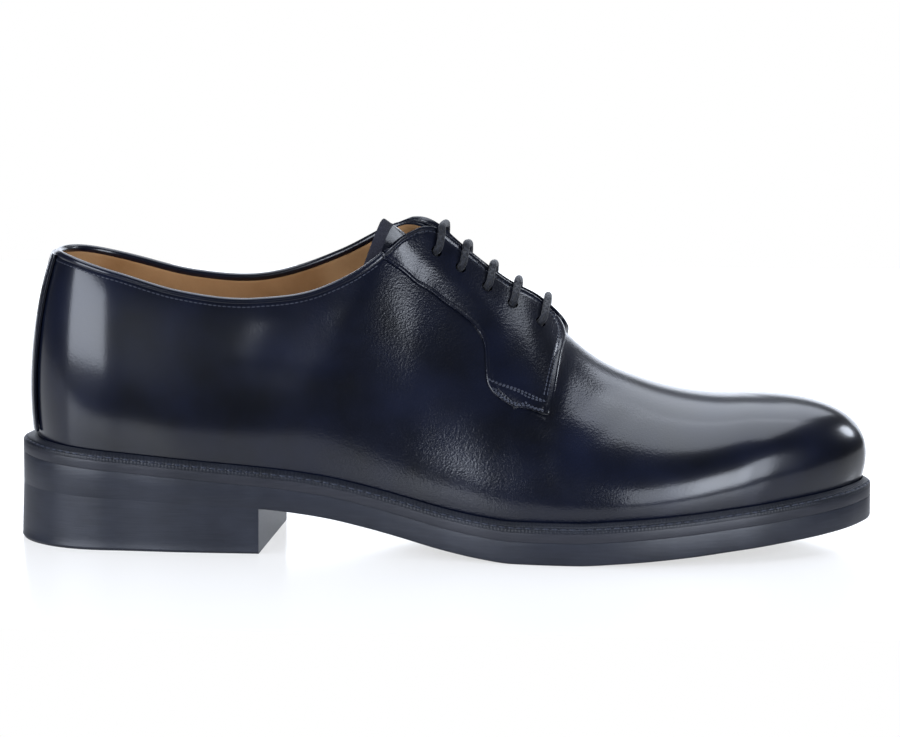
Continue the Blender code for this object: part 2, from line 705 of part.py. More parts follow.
def lace_route(number):
    """The middle of a lace bar, from over its lateral eyelet to over its medial one."""
    place, share = eyelet["place"](number), eyelet["share"](number)
    lift = CLEARANCE + FACING_THICKNESS + FACING_STEP + LACE_DIAMETER / 2 + LACE_GAP
    points = []
    for side in (-1, 1):
        half = []
        for level in (share, (share + 1) / 2, 1.0):
            half.append(over_upper(place, side, level, lift))
        points += half if side < 0 else half[::-1]
    crown = (points[2] + points[3]) / 2 + Vector((0, 0, LACE_CROWN))
    return points[:3] + [crown] + points[3:]


def smooth_route(points, count):
    places = list(range(len(points)))
    axes = [smooth_curve(places, [point[k] for point in points]) for k in range(3)]
    return [Vector([axis(s) for axis in axes]) for s in spread(0, len(points) - 1, count)]


def make_lace_bar(number, material, collection):
    curve = bpy.data.curves.new(f"lace_bar_{number}", "CURVE")
    curve.dimensions = "3D"
    curve.bevel_depth = LACE_DIAMETER / 2
    curve.bevel_resolution = 2
    curve.use_fill_caps = True
    points = smooth_route(lace_route(number), LACE_STEPS)
    spline = curve.splines.new("POLY")
    spline.points.add(len(points) - 1)
    for spot, point in zip(spline.points, points):
        spot.co = (*point, 1.0)
    curve.materials.append(material)
    obj = bpy.data.objects.new(curve.name, curve)
    collection.objects.link(obj)
    return obj


def main():
    for obj in list(bpy.data.objects):
        bpy.data.objects.remove(obj)
    shoe = bpy.data.collections.new("derby_shoe")
    cutters = bpy.data.collections.new("cutters")
    cutters.hide_render = True
    for collection in (shoe, cutters):
        bpy.context.scene.collection.children.link(collection)
    calf = new_material("navy_calf_leather", (0.012, 0.016, 0.032), 0.32)
    welting = new_material("welt_leather", (0.010, 0.011, 0.015), 0.55)
    edge = new_material("midsole_leather", (0.040, 0.036, 0.036), 0.50)
    rubber = new_material("sole_rubber", (0.034, 0.036, 0.043), 0.60)
    lining = new_material("tan_lining_leather", (0.42, 0.24, 0.12), 0.60)
    cord = new_material("waxed_cotton_cord", (0.010, 0.011, 0.017), 0.70)
    make_outsole(rubber, shoe)
    make_heel(rubber, shoe)
    make_midsole(edge, shoe)
    make_welt(welting, shoe)
    make_insole(lining, shoe)
    make_upper(calf, shoe)
    make_tongue(calf, shoe)
    make_back_strip(calf, shoe)
    facings = [make_facing(side, calf, shoe) for side in (-1, 1)]
    for number, *_ in EYELETS[1:]:
        make_lace_bar(number, cord, shoe)
    punches = make_punches(cutters)
    for obj in facings:
        punch(obj, punches)


main()
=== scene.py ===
# %% [markdown]
# # A plain-toe derby shoe
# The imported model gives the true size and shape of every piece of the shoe. This script dresses it:
# it makes the leather, seams, stitches and laces that the eye expects, and leaves the sizes alone.
# The toe points along +X, the outer side of the foot along -Y, and the floor is at z = 0.

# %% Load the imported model
import bisect
import functools
import math

import bpy
import numpy as np
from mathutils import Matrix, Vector


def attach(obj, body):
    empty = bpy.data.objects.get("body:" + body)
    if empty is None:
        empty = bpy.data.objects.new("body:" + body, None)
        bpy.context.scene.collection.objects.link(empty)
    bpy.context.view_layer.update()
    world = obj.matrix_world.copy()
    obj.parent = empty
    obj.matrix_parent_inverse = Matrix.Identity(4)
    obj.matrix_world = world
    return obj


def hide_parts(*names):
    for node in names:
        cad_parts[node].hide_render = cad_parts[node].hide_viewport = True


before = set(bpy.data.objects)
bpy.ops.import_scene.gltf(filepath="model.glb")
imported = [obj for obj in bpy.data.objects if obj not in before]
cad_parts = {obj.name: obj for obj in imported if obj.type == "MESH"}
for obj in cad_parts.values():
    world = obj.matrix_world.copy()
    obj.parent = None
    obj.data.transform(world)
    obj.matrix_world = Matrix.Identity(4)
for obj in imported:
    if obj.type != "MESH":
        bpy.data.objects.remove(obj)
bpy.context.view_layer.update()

# %% [markdown]
# ## The camera
# Product photographs of shoes are taken from far off with a long lens, a little above the floor and
# almost square to the side, so that the shape isn't stretched. The camera stands 1.8 m away, about
# 4 degrees towards the toe and 8.5 degrees up.

# %% Place the camera
AZIMUTH, ELEVATION, DISTANCE = math.radians(3.95), math.radians(8.55), 1.8
TARGET = Vector((0.002, 0.0, 0.061))
FOCAL_PIXELS, IMAGE_WIDTH, SENSOR_MM = 5080, 900, 36.0

camera_data = bpy.data.cameras.new("studio_camera")
camera_data.sensor_width = SENSOR_MM
camera_data.lens = FOCAL_PIXELS / IMAGE_WIDTH * SENSOR_MM
camera_data.clip_end = 50.0
camera = bpy.data.objects.new("studio_camera", camera_data)
bpy.context.scene.collection.objects.link(camera)
away = Vector(
    (
        math.sin(AZIMUTH) * math.cos(ELEVATION),
        -math.cos(AZIMUTH) * math.cos(ELEVATION),
        math.sin(ELEVATION),
    )
)
camera.location = TARGET + away * DISTANCE
camera.rotation_euler = away.to_track_quat("Z", "Y").to_euler()
bpy.context.scene.camera = camera
print("camera at", [round(value, 3) for value in camera.location])

# %% [markdown]
# ## The ribs of the last
# A shoemaker's last is measured in sections across the foot. The model was made the same way, from
# ribs: curves that stand on a spine along the shoe and turn round a pivot at the heel and the toe.
# The tables repeat those sections, so that seams and stitches can be laid on the leather by
# "place" (0 at the back of the heel, 1 at the toe's tip) and "share" (0 at the welt, 1 at the top).

# %% Sizes and sections, in metres
LENGTH = 0.302
HALF_HEEL, HALF_BALL, HALF_COLLAR, HALF_SLOT = 0.0346, 0.0522, 0.0263, 0.0075
WELT_WIDTH, WELT_HEIGHT, WELT_EDGE = 0.0049, 0.0034, 0.0010
BACK, SIDE, INSTEP, THROAT, TOE = 0.0670, 0.0575, 0.0934, 0.0603, 0.0340
HEEL_LENGTH, HEEL_HEIGHT, BREAST_HEIGHT, HEEL_FLARE = 0.0883, 0.0200, 0.0158, 0.0007
TOE_SPRING, OUTSOLE, SEAT_WEDGE, MIDSOLE = 0.0090, 0.0080, 0.0030, 0.0030
WALL, GAP = 0.0022, 0.0003
TOE_REACH = 0.868 * HALF_BALL
HEEL_PIVOT = -LENGTH / 2 + HEEL_FLARE + HALF_HEEL
TOE_PIVOT = LENGTH / 2 - TOE_REACH
BREAST = -LENGTH / 2 + HEEL_LENGTH
HEEL_END, TOE_START, THROAT_PLACE = 0.16, 0.80, 0.62

# Shares of the half widths: place, lateral, medial, spine, and the ledge as a share of the welt
OUTLINE = (
    (0.00, 1.000, 1.000, 0.000, 1.08),
    (0.08, 0.962, 0.958, 0.000, 0.78),
    (0.16, 0.934, 0.922, 0.000, 0.61),
    (0.23, 0.991, 0.968, 0.000, 0.59),
    (0.31, 1.017, 0.936, 0.000, 0.59),
    (0.38, 1.043, 0.864, 0.000, 0.61),
    (0.44, 0.749, 0.544, 0.011, 0.66),
    (0.50, 0.851, 0.580, 0.027, 0.78),
    (0.55, 0.962, 0.663, 0.046, 0.88),
    (0.60, 1.046, 0.764, 0.067, 0.96),
    (0.65, 1.088, 0.849, 0.088, 1.00),
    (0.70, 1.080, 0.895, 0.100, 0.98),
    (0.75, 0.998, 0.883, 0.098, 0.92),
    (0.80, 0.871, 0.818, 0.086, 0.82),
    (0.85, 0.786, 0.749, 0.086, 0.78),
    (0.90, 0.782, 0.742, 0.086, 0.73),
    (0.95, 0.824, 0.803, 0.086, 0.67),
    (1.00, 0.868, 0.868, 0.086, 0.61),
)
FIRST_BALL_ROW = 0.44

# Height of the tread, by share of the length
TREAD = (
    (HEEL_LENGTH / LENGTH, 1.00 * BREAST_HEIGHT),
    (0.323, 0.94 * BREAST_HEIGHT),
    (0.369, 0.82 * BREAST_HEIGHT),
    (0.415, 0.64 * BREAST_HEIGHT),
    (0.461, 0.43 * BREAST_HEIGHT),
    (0.506, 0.22 * BREAST_HEIGHT),
    (0.552, 0.07 * BREAST_HEIGHT),
    (0.590, 0.0),
    (0.662, 0.0),
    (0.713, 0.09 * TOE_SPRING),
    (0.793, 0.28 * TOE_SPRING),
    (0.850, 0.47 * TOE_SPRING),
    (0.943, 0.79 * TOE_SPRING),
    (1.000, 1.00 * TOE_SPRING),
)

# Where a rib ends: place, lateral out and up, medial out and up
TOP = (
    (0.000, 0.85 * HALF_COLLAR, 1.00 * BACK, 0.85 * HALF_COLLAR, 1.00 * BACK),
    (0.080, 0.87 * HALF_COLLAR, 0.99 * BACK, 0.87 * HALF_COLLAR, 0.99 * BACK),
    (0.160, 0.89 * HALF_COLLAR, 1.08 * SIDE, 0.89 * HALF_COLLAR, 1.09 * SIDE),
    (0.230, 0.97 * HALF_COLLAR, 1.00 * SIDE, 0.97 * HALF_COLLAR, 1.02 * SIDE),
    (0.310, 1.00 * HALF_COLLAR, 1.00 * SIDE, 0.97 * HALF_COLLAR, 1.05 * SIDE),
    (0.380, 0.98 * HALF_COLLAR, 1.13 * SIDE, 0.93 * HALF_COLLAR, 1.24 * SIDE),
    (0.440, 0.82 * HALF_COLLAR, 0.875 * INSTEP, 0.74 * HALF_COLLAR, 0.925 * INSTEP),
    (0.455, 2.36 * HALF_SLOT, 0.940 * INSTEP, 1.98 * HALF_SLOT, 0.963 * INSTEP),
    (0.470, 1.73 * HALF_SLOT, 0.978 * INSTEP, 1.45 * HALF_SLOT, 0.976 * INSTEP),
    (0.484, 1.28 * HALF_SLOT, 0.983 * INSTEP, 1.16 * HALF_SLOT, 0.964 * INSTEP),
    (0.500, 1.03 * HALF_SLOT, 0.948 * INSTEP, 1.00 * HALF_SLOT, 0.925 * INSTEP),
    (0.550, 0.84 * HALF_SLOT, 0.828 * INSTEP, 0.84 * HALF_SLOT, 0.810 * INSTEP),
    (0.590, 0.64 * HALF_SLOT, 1.148 * THROAT, 0.64 * HALF_SLOT, 1.135 * THROAT),
    (0.607, 0.42 * HALF_SLOT, 1.050 * THROAT, 0.42 * HALF_SLOT, 1.050 * THROAT),
    (0.620, 0.0, 0.970 * THROAT, 0.0, 0.970 * THROAT),
    (0.650, 0.0, 0.824 * THROAT, 0.0, 0.824 * THROAT),
    (0.700, 0.0, 1.205 * TOE, 0.0, 1.205 * TOE),
    (0.750, 0.0, 1.050 * TOE, 0.0, 1.050 * TOE),
    (0.800, 0.0, 0.990 * TOE, 0.0, 0.990 * TOE),
)

# The pulls on a rib's curve: place, then bulge, rise, pull and drop, lateral and medial
SECTIONS = (
    (0.00, 0.074, 0.29, 0.202, 0.30, 0.074, 0.29, 0.202, 0.30),
    (0.08, 0.087, 0.26, 0.22, 0.30, 0.087, 0.26, 0.22, 0.30),
    (0.16, 0.121, 0.27, 0.24, 0.31, 0.125, 0.27, 0.24, 0.31),
    (0.23, 0.110, 0.29, 0.21, 0.29, 0.121, 0.28, 0.22, 0.29),
    (0.31, 0.121, 0.28, 0.22, 0.28, 0.188, 0.25, 0.25, 0.28),
    (0.38, 0.145, 0.25, 0.29, 0.32, 0.260, 0.21, 0.32, 0.33),
    (0.44, 0.135, 0.21, 0.30, 0.33, 0.318, 0.18, 0.36, 0.32),
    (0.50, 0.118, 0.20, 0.40, 0.20, 0.230, 0.19, 0.40, 0.19),
    (0.55, 0.125, 0.23, 0.40, 0.125, 0.192, 0.22, 0.36, 0.12),
    (0.60, 0.121, 0.27, 0.42, 0.07, 0.144, 0.25, 0.38, 0.06),
    (0.65, 0.119, 0.35, 0.50, 0.01, 0.125, 0.33, 0.44, 0.01),
    (0.70, 0.115, 0.40, 0.52, 0.0, 0.115, 0.40, 0.48, 0.0),
    (0.75, 0.111, 0.48, 0.52, 0.0, 0.111, 0.48, 0.48, 0.0),
    (0.80, 0.111, 0.56, 0.52, 0.0, 0.107, 0.56, 0.49, 0.0),
    (0.90, 0.107, 0.60, 0.54, 0.0, 0.107, 0.60, 0.54, 0.0),
    (1.00, 0.130, 0.61, 0.612, -0.02, 0.130, 0.61, 0.612, -0.02),
)

# %% Read the tables as smooth functions
def smooth_curve(places, values, overshoot=True, level_ends=False):
    gaps = [b - a for a, b in zip(places, places[1:])]
    rises = [(b - a) / gap for a, b, gap in zip(values, values[1:], gaps)]
    slopes = [rises[0]]
    for i in range(1, len(gaps)):
        before, after = rises[i - 1], rises[i]
        if not overshoot and before * after <= 0:
            slopes.append(0.0)
        elif not overshoot:
            slopes.append(2 * before * after / (before + after))
        else:
            slopes.append((before * gaps[i] + after * gaps[i - 1]) / (gaps[i] + gaps[i - 1]))
    slopes.append(rises[-1])
    if level_ends:
        slopes[0] = slopes[-1] = 0.0

    def at(place):
        place = min(max(place, places[0]), places[-1])
        i = min(max(bisect.bisect_right(places, place) - 1, 0), len(gaps) - 1)
        s = (place - places[i]) / gaps[i]
        return (
            values[i] * (1 + 2 * s) * (1 - s) ** 2
            + slopes[i] * gaps[i] * s * (1 - s) ** 2
            + values[i + 1] * s * s * (3 - 2 * s)
            + slopes[i + 1] * gaps[i] * s * s * (s - 1)
        )

    return at


def columns(table, overshoot=True, level_ends=False):
    places = [row[0] for row in table]
    return [
        smooth_curve(places, [row[i] for row in table], overshoot, level_ends)
        for i in range(1, len(table[0]))
    ]


def widths_of(row):
    place, lateral, medial, spine, ledge = row
    half = HALF_HEEL if place < FIRST_BALL_ROW else HALF_BALL
    return place, lateral * half, medial * half, spine * HALF_BALL, ledge * WELT_WIDTH


lateral_reach, medial_reach, spine_at, ledge_at = columns(
    [widths_of(row) for row in OUTLINE], level_ends=True
)
tread_at = columns(TREAD, overshoot=False)[0]
top_at = columns(TOP, level_ends=True)
section_at = columns(SECTIONS, level_ends=True)
print("half width at the ball:", round(1000 * lateral_reach(0.65), 1), "mm")

# %% Find points on the sole and on the upper
def rib(place, side):
    if place <= HEEL_END:
        turn = math.pi / 2 * place / HEEL_END
        return (HEEL_PIVOT, spine_at(HEEL_END)), (-math.cos(turn), side * math.sin(turn))
    if place >= TOE_START:
        turn = math.pi / 2 * (place - TOE_START) / (1 - TOE_START)
        return (TOE_PIVOT, spine_at(TOE_START)), (math.sin(turn), side * math.cos(turn))
    along = (place - HEEL_END) / (TOE_START - HEEL_END)
    return (HEEL_PIVOT + (TOE_PIVOT - HEEL_PIVOT) * along, spine_at(place)), (0.0, side)


def rib_point(place, side, out, height):
    (x, y), (run_x, run_y) = rib(place, side)
    return Vector((x + run_x * out, y + run_y * out, height))


def reach(place, side):
    return (lateral_reach if side < 0 else medial_reach)(place)


def foot_reach(place, side):
    return reach(place, side) - ledge_at(place)


def heel_part(x):
    return max(0.0, 1 - (x + LENGTH / 2) / HEEL_LENGTH)


def tread_height(x):
    if x < BREAST:
        return BREAST_HEIGHT + (HEEL_HEIGHT - BREAST_HEIGHT) * heel_part(x)
    return tread_at((x + LENGTH / 2) / LENGTH)


def outsole_top(x):
    return tread_height(x) + OUTSOLE + SEAT_WEDGE * heel_part(x)


def midsole_top(x):
    return outsole_top(x) + GAP + MIDSOLE


def welt_top(x):
    return midsole_top(x) + WELT_HEIGHT


def x_at(place, side, out):
    return rib_point(place, side, out, 0.0).x


def half_width(place):
    s = min(max((place - 0.40) / 0.12, 0.0), 1.0)
    return HALF_HEEL + (HALF_BALL - HALF_HEEL) * s * s * (3 - 2 * s)


TRACE_STEPS = 60


@functools.lru_cache(maxsize=None)
def rib_trace(place, side):
    """The rib's curve as close points, with the share of its length at each, and its length."""
    lateral = side < 0
    foot = foot_reach(place, side)
    foot_height = welt_top(x_at(place, side, foot))
    end = 0.0 if place >= THROAT_PLACE else top_at[0 if lateral else 2](place)
    rise = top_at[1 if lateral else 3](place)
    end_height = welt_top(x_at(place, side, 0.0)) + rise
    bulge, lift, pull, drop = (section_at[i + (0 if lateral else 4)](place) for i in range(4))
    corners = (
        (foot, foot_height),
        (foot + bulge * half_width(place), foot_height + lift * rise),
        (end + pull * half_width(place), end_height - drop * rise),
        (end, end_height),
    )
    points = []
    for i in range(TRACE_STEPS + 1):
        s = i / TRACE_STEPS
        weights = ((1 - s) ** 3, 3 * s * (1 - s) ** 2, 3 * s * s * (1 - s), s**3)
        points.append([sum(w * p[k] for w, p in zip(weights, corners)) for k in (0, 1)])
    run = [0.0]
    for p, q in zip(points, points[1:]):
        run.append(run[-1] + math.dist(p, q))
    return points, [length / run[-1] for length in run], run[-1]


def upper_point(place, side, share):
    points, shares, _ = rib_trace(place, side)
    i = min(max(bisect.bisect_right(shares, share) - 1, 0), TRACE_STEPS - 1)
    s = (share - shares[i]) / (shares[i + 1] - shares[i])
    out, height = (points[i][k] + (points[i + 1][k] - points[i][k]) * s for k in (0, 1))
    return rib_point(place, side, out, height)


def upper_normal(place, side, share):
    share = min(max(share, 0.02), 0.97)
    along = upper_point(place + 0.004, side, share) - upper_point(place - 0.004, side, share)
    upwards = upper_point(place, side, share + 0.02) - upper_point(place, side, share - 0.02)
    return (upwards.cross(along) * side).normalized()


def on_upper(place, side, share, out=0.0):
    """A point on the leather, or standing out from it."""
    if place < 0:
        place, side = -place, -side
    if place > 1:
        place, side = 2 - place, -side
    return upper_point(place, side, share) + upper_normal(place, side, share) * out


print("top of the instep:", [round(1000 * c, 1) for c in on_upper(0.484, -1, 1.0)], "mm")

# %% [markdown]
# ## Helpers for materials
# Colours are written as sRGB hex values, as a paint program shows them, and turned to the linear
# values that Blender mixes with. One function adds a node with its settings and its links.
# Patterns are given a real size in millimetres, and scale() turns it to a texture's scale.

# %% Colour, node and scale helpers
def linear(hex_colour):
    channels = [int(hex_colour[i : i + 2], 16) / 255 for i in (1, 3, 5)]
    return (*[c / 12.92 if c <= 0.04045 else ((c + 0.055) / 1.055) ** 2.4 for c in channels], 1.0)


def scale(size_mm):
    return 1000.0 / size_mm


def add_node(material, kind, inputs=None, **settings):
    """Adds a node; an input that is given another node's socket is linked to it."""
    node = material.node_tree.nodes.new(kind)
    for name, value in settings.items():
        setattr(node, name, value)
    for name, value in (inputs or {}).items():
        if isinstance(value, bpy.types.NodeSocket):
            material.node_tree.links.new(value, node.inputs[name])
        else:
            node.inputs[name].default_value = value
    return node


def new_material(name, **values):
    """A Principled material, with values set on the shader's own sockets."""
    material = bpy.data.materials.new(name)
    material.use_nodes = True
    shader = material.node_tree.nodes["Principled BSDF"]
    for socket, value in values.items():
        shader.inputs[socket.replace("_", " ")].default_value = value
    return material, shader


def set_ramp(ramp, stops):
    """Gives a colour ramp its stops, as (position, hex colour)."""
    elements = ramp.color_ramp.elements
    while len(elements) < len(stops):
        elements.new(0.5)
    for element, (position, colour) in zip(elements, stops):
        element.position = position
        element.color = linear(colour)
    return ramp


print("one 1 mm grain is scale", scale(1.0))

# %% [markdown]
# ## Box calf
# The upper is calf leather, dyed a blue that is nearly black, and polished. Fine pores and a
# faint pebble break up its shine, and the wax lies on top as a thin clear coat, so it is
# made of a rough base with a smoother coat over it. The grain opens where a foot bends the shoe,
# and is ironed nearly flat at the heel and the toe, so its depth depends on the place along X.

# %% Box calf leather
FLEX_CENTRE, FLEX_HALF = 0.015, 0.085


def calf_leather(name, dark, light, roughness, grain_mm=0.6, grain_depth=0.00004):
    material, shader = new_material(
        name,
        Coat_Weight=1.0,
        Coat_Roughness=0.16,
        Coat_IOR=1.5,
        IOR=1.45,
        Specular_IOR_Level=0.22,
    )
    place = add_node(material, "ShaderNodeTexCoord").outputs["Object"]
    clouds = add_node(
        material,
        "ShaderNodeTexNoise",
        {"Vector": place, "Scale": scale(28.0), "Detail": 3.0},
    )
    tint = add_node(material, "ShaderNodeValToRGB", {"Fac": clouds.outputs["Fac"]})
    set_ramp(tint, [(0.35, dark), (0.70, light)])
    pores = add_node(
        material,
        "ShaderNodeTexVoronoi",
        {"Vector": place, "Scale": scale(grain_mm)},
        feature="SMOOTH_F1",
    )
    pebble = add_node(
        material,
        "ShaderNodeTexNoise",
        {"Vector": place, "Scale": scale(1.1), "Detail": 4.0, "Roughness": 0.6},
    )
    relief = add_node(
        material,
        "ShaderNodeMath",
        {0: pebble.outputs["Fac"], 1: 1.6, 2: pores.outputs["Distance"]},
        operation="MULTIPLY_ADD",
    )
    spot = add_node(material, "ShaderNodeSeparateXYZ", {"Vector": place})
    from_flex = add_node(
        material, "ShaderNodeMath", {0: spot.outputs["X"], 1: FLEX_CENTRE}, operation="SUBTRACT"
    )
    distance = add_node(
        material, "ShaderNodeMath", {0: from_flex.outputs[0]}, operation="ABSOLUTE"
    )
    depth = add_node(
        material,
        "ShaderNodeMapRange",
        {
            "Value": distance.outputs[0],
            "From Min": 0.25 * FLEX_HALF,
            "From Max": FLEX_HALF,
            "To Min": grain_depth,
            "To Max": 0.25 * grain_depth,
        },
        interpolation_type="SMOOTHSTEP",
    )
    bump = add_node(
        material,
        "ShaderNodeBump",
        {"Height": relief.outputs[0], "Distance": depth.outputs["Result"]},
    )
    shine = add_node(
        material,
        "ShaderNodeMapRange",
        {
            "Value": clouds.outputs["Fac"],
            "From Min": 0.3,
            "From Max": 0.7,
            "To Min": roughness - 0.04,
            "To Max": roughness + 0.05,
        },
    )
    links = material.node_tree.links
    links.new(tint.outputs["Color"], shader.inputs["Base Color"])
    links.new(shine.outputs["Result"], shader.inputs["Roughness"])
    links.new(bump.outputs["Normal"], shader.inputs["Normal"])
    links.new(bump.outputs["Normal"], shader.inputs["Coat Normal"])
    return material


box_calf = calf_leather("navy_box_calf", "#040711", "#091025", roughness=0.34)
print("made", box_calf.name)

# %% [markdown]
# ## Lining, welt, sole, cord and thread
# The lining is undyed leather, dull and warm. The welt and the sole's edge are stained and
# burnished: a dull base with a slight sheen and fine scratches along the edge. The cord is
# braided cotton, and the thread is waxed and a little darker than the leather.

# %% Lining leather
def dull_leather(name, dark, light, roughness, grain_mm, grain_depth):
    material, shader = new_material(name, Roughness=roughness, IOR=1.45)
    place = add_node(material, "ShaderNodeTexCoord").outputs["Object"]
    clouds = add_node(
        material,
        "ShaderNodeTexNoise",
        {"Vector": place, "Scale": scale(18.0), "Detail": 4.0},
    )
    tint = add_node(material, "ShaderNodeValToRGB", {"Fac": clouds.outputs["Fac"]})
    set_ramp(tint, [(0.3, dark), (0.7, light)])
    grain = add_node(
        material,
        "ShaderNodeTexNoise",
        {"Vector": place, "Scale": scale(grain_mm), "Detail": 3.0},
    )
    bump = add_node(
        material,
        "ShaderNodeBump",
        {"Height": grain.outputs["Fac"], "Distance": grain_depth},
    )
    links = material.node_tree.links
    links.new(tint.outputs["Color"], shader.inputs["Base Color"])
    links.new(bump.outputs["Normal"], shader.inputs["Normal"])
    return material


lining = dull_leather("tan_lining_leather", "#A87D50", "#C49A6C", 0.62, 1.2, 0.00008)
raw_edge = dull_leather("dyed_suede_edge", "#0C0D17", "#20202E", 0.8, 0.9, 0.0004)
thread = dull_leather("waxed_thread", "#282C3A", "#404553", 0.36, 0.5, 0.00004)
print("made", lining.name, raw_edge.name, thread.name)

# %% Burnished edges of the welt and the sole
def edge_material(name, dark, light, roughness, streak_mm=(9.0, 9.0, 0.7), depth=0.00005):
    """A trimmed edge: fine scratches run along it, so the noise is stretched in x and y."""
    material, shader = new_material(name, Roughness=roughness, IOR=1.46)
    place = add_node(material, "ShaderNodeTexCoord").outputs["Object"]
    stretched = add_node(
        material,
        "ShaderNodeMapping",
        {"Vector": place, "Scale": tuple(scale(size) for size in streak_mm)},
    )
    streaks = add_node(
        material,
        "ShaderNodeTexNoise",
        {"Vector": stretched.outputs["Vector"], "Scale": 1.0, "Detail": 4.0},
    )
    clouds = add_node(
        material,
        "ShaderNodeTexNoise",
        {"Vector": place, "Scale": scale(16.0), "Detail": 3.0},
    )
    mixed = add_node(
        material,
        "ShaderNodeMath",
        {0: streaks.outputs["Fac"], 1: 0.6, 2: clouds.outputs["Fac"]},
        operation="MULTIPLY_ADD",
    )
    tint = add_node(material, "ShaderNodeValToRGB", {"Fac": mixed.outputs[0]})
    set_ramp(tint, [(0.55, dark), (1.0, light)])
    bump = add_node(
        material,
        "ShaderNodeBump",
        {"Height": streaks.outputs["Fac"], "Distance": depth},
    )
    links = material.node_tree.links
    links.new(tint.outputs["Color"], shader.inputs["Base Color"])
    links.new(bump.outputs["Normal"], shader.inputs["Normal"])
    return material


sole_rubber = edge_material("trimmed_sole_rubber", "#1D2029", "#2A2D37", 0.38)
midsole_edge = edge_material("burnished_midsole_edge", "#20222A", "#2E2F37", 0.41)
tread_rubber = edge_material("moulded_tread_rubber", "#1E2129", "#282B34", 0.55)
welt_leather = edge_material("stained_welt_leather", "#10131B", "#1B1F2A", 0.42)
print("made", sole_rubber.name, midsole_edge.name, tread_rubber.name, welt_leather.name)

# %% Ridges pressed across the welt, and bars moulded under the sole
def press_ridges(material, place, mapping, depth):
    """Adds a wave of ridges under the bump that the material has. A mapping of 1 is one ridge."""
    turned = add_node(material, "ShaderNodeMapping", {"Vector": place, "Scale": mapping})
    wave = add_node(
        material,
        "ShaderNodeTexWave",
        {"Vector": turned.outputs["Vector"], "Scale": 0.314},
    )
    ridges = add_node(
        material, "ShaderNodeBump", {"Height": wave.outputs["Fac"], "Distance": depth}
    )
    shader = material.node_tree.nodes["Principled BSDF"]
    fine = shader.inputs["Normal"].links[0].from_node
    material.node_tree.links.new(ridges.outputs["Normal"], fine.inputs["Normal"])


WELT_RIDGES = 560
welt_run = add_node(welt_leather, "ShaderNodeUVMap", uv_map="run").outputs["UV"]
press_ridges(welt_leather, welt_run, (WELT_RIDGES, 1.0, 1.0), 0.00005)
under_foot = add_node(tread_rubber, "ShaderNodeTexCoord").outputs["Object"]
press_ridges(tread_rubber, under_foot, (scale(6.0), 1.0, 1.0), 0.0008)
print("pressed", WELT_RIDGES, "ridges round the welt")

# %% Braided cord: two sets of strands that cross, drawn on the cord's own UV map, with painted shade in the grooves between them
def braided_cord(name, dark, light, turns=8.0, rows_per_metre=700.0):
    material, shader = new_material(name, Roughness=0.62, Sheen_Weight=0.15)
    uv = add_node(material, "ShaderNodeUVMap", uv_map="run").outputs["UV"]
    strands = []
    for lean in (1.0, -1.0):
        turned = add_node(
            material,
            "ShaderNodeMapping",
            {"Vector": uv, "Scale": (turns, lean * rows_per_metre, 1.0)},
        )
        wave = add_node(
            material,
            "ShaderNodeTexWave",
            {"Vector": turned.outputs["Vector"], "Scale": 0.3183},
            bands_direction="DIAGONAL",
        )
        strands.append(wave.outputs["Fac"])
    strand_height_and_shade = add_node(
        material, "ShaderNodeMath", {0: strands[0], 1: strands[1]}, operation="MAXIMUM"
    )
    # The colour follows the strands' height: the grooves between the strands are painted darker as
    # shade.
    tint = add_node(material, "ShaderNodeValToRGB", {"Fac": strand_height_and_shade.outputs[0]})
    set_ramp(tint, [(0.2, dark), (0.9, light)])
    bump = add_node(
        material, "ShaderNodeBump", {"Height": strand_height_and_shade.outputs[0], "Distance": 0.0002}
    )
    links = material.node_tree.links
    links.new(tint.outputs["Color"], shader.inputs["Base Color"])
    links.new(bump.outputs["Normal"], shader.inputs["Normal"])
    return material


cord_cotton = braided_cord("braided_cotton_cord", "#03040A", "#0D111E")
print("made", cord_cotton.name)

# %% [markdown]
# ## Helpers for shapes
# Most pieces of a shoe are sheets that are cut flat and pulled over the last. They are made the same
# way here: a flat grid is added, every point of it is put where it belongs on the last, and
# modifiers give the sheet its thickness and its rounded edges.

# %% Select nothing, and finish a piece
def deselect():
    bpy.ops.object.select_all(action="DESELECT")


def only(piece):
    deselect()
    piece.select_set(True)
    bpy.context.view_layer.objects.active = piece


def apply_modifiers(piece):
    only(piece)
    for modifier in list(piece.modifiers):
        bpy.ops.object.modifier_apply(modifier=modifier.name)


def in_edit_mode(piece, *steps):
    """Runs edit-mode operators on all of a piece."""
    only(piece)
    bpy.ops.object.mode_set(mode="EDIT")
    bpy.ops.mesh.select_all(action="SELECT")
    for step in steps:
        step()
    bpy.ops.object.mode_set(mode="OBJECT")


def merge_doubles():
    bpy.ops.mesh.remove_doubles(threshold=0.000002)


def face_outwards():
    bpy.ops.mesh.normals_make_consistent(inside=False)


def finish_piece(piece, material, slot, *nodes):
    """Smooths a piece, gives it its material, and makes it ride on the shoe."""
    only(piece)
    bpy.ops.object.shade_smooth_by_angle(angle=math.radians(40))
    if material is not None:
        piece.data.materials.clear()
        piece.data.materials.append(material)
    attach(piece, "root")
    if nodes:
        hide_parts(*nodes)
    print(piece.name, len(piece.data.polygons), "faces")
    return piece


# %% A grid that is mapped onto the shoe
def mapped_grid(name, across, along, spot):
    """A flat grid of across x along faces. Each point goes where spot(u, v) says, u and v in 0 to 1."""
    deselect()
    bpy.ops.mesh.primitive_grid_add(x_subdivisions=across, y_subdivisions=along, size=1.0)
    piece = bpy.context.object
    piece.name = piece.data.name = name
    for vertex in piece.data.vertices:
        vertex.co = spot(round(vertex.co.x + 0.5, 6), round(vertex.co.y + 0.5, 6))
    piece.data.uv_layers[0].name = "run"
    return piece


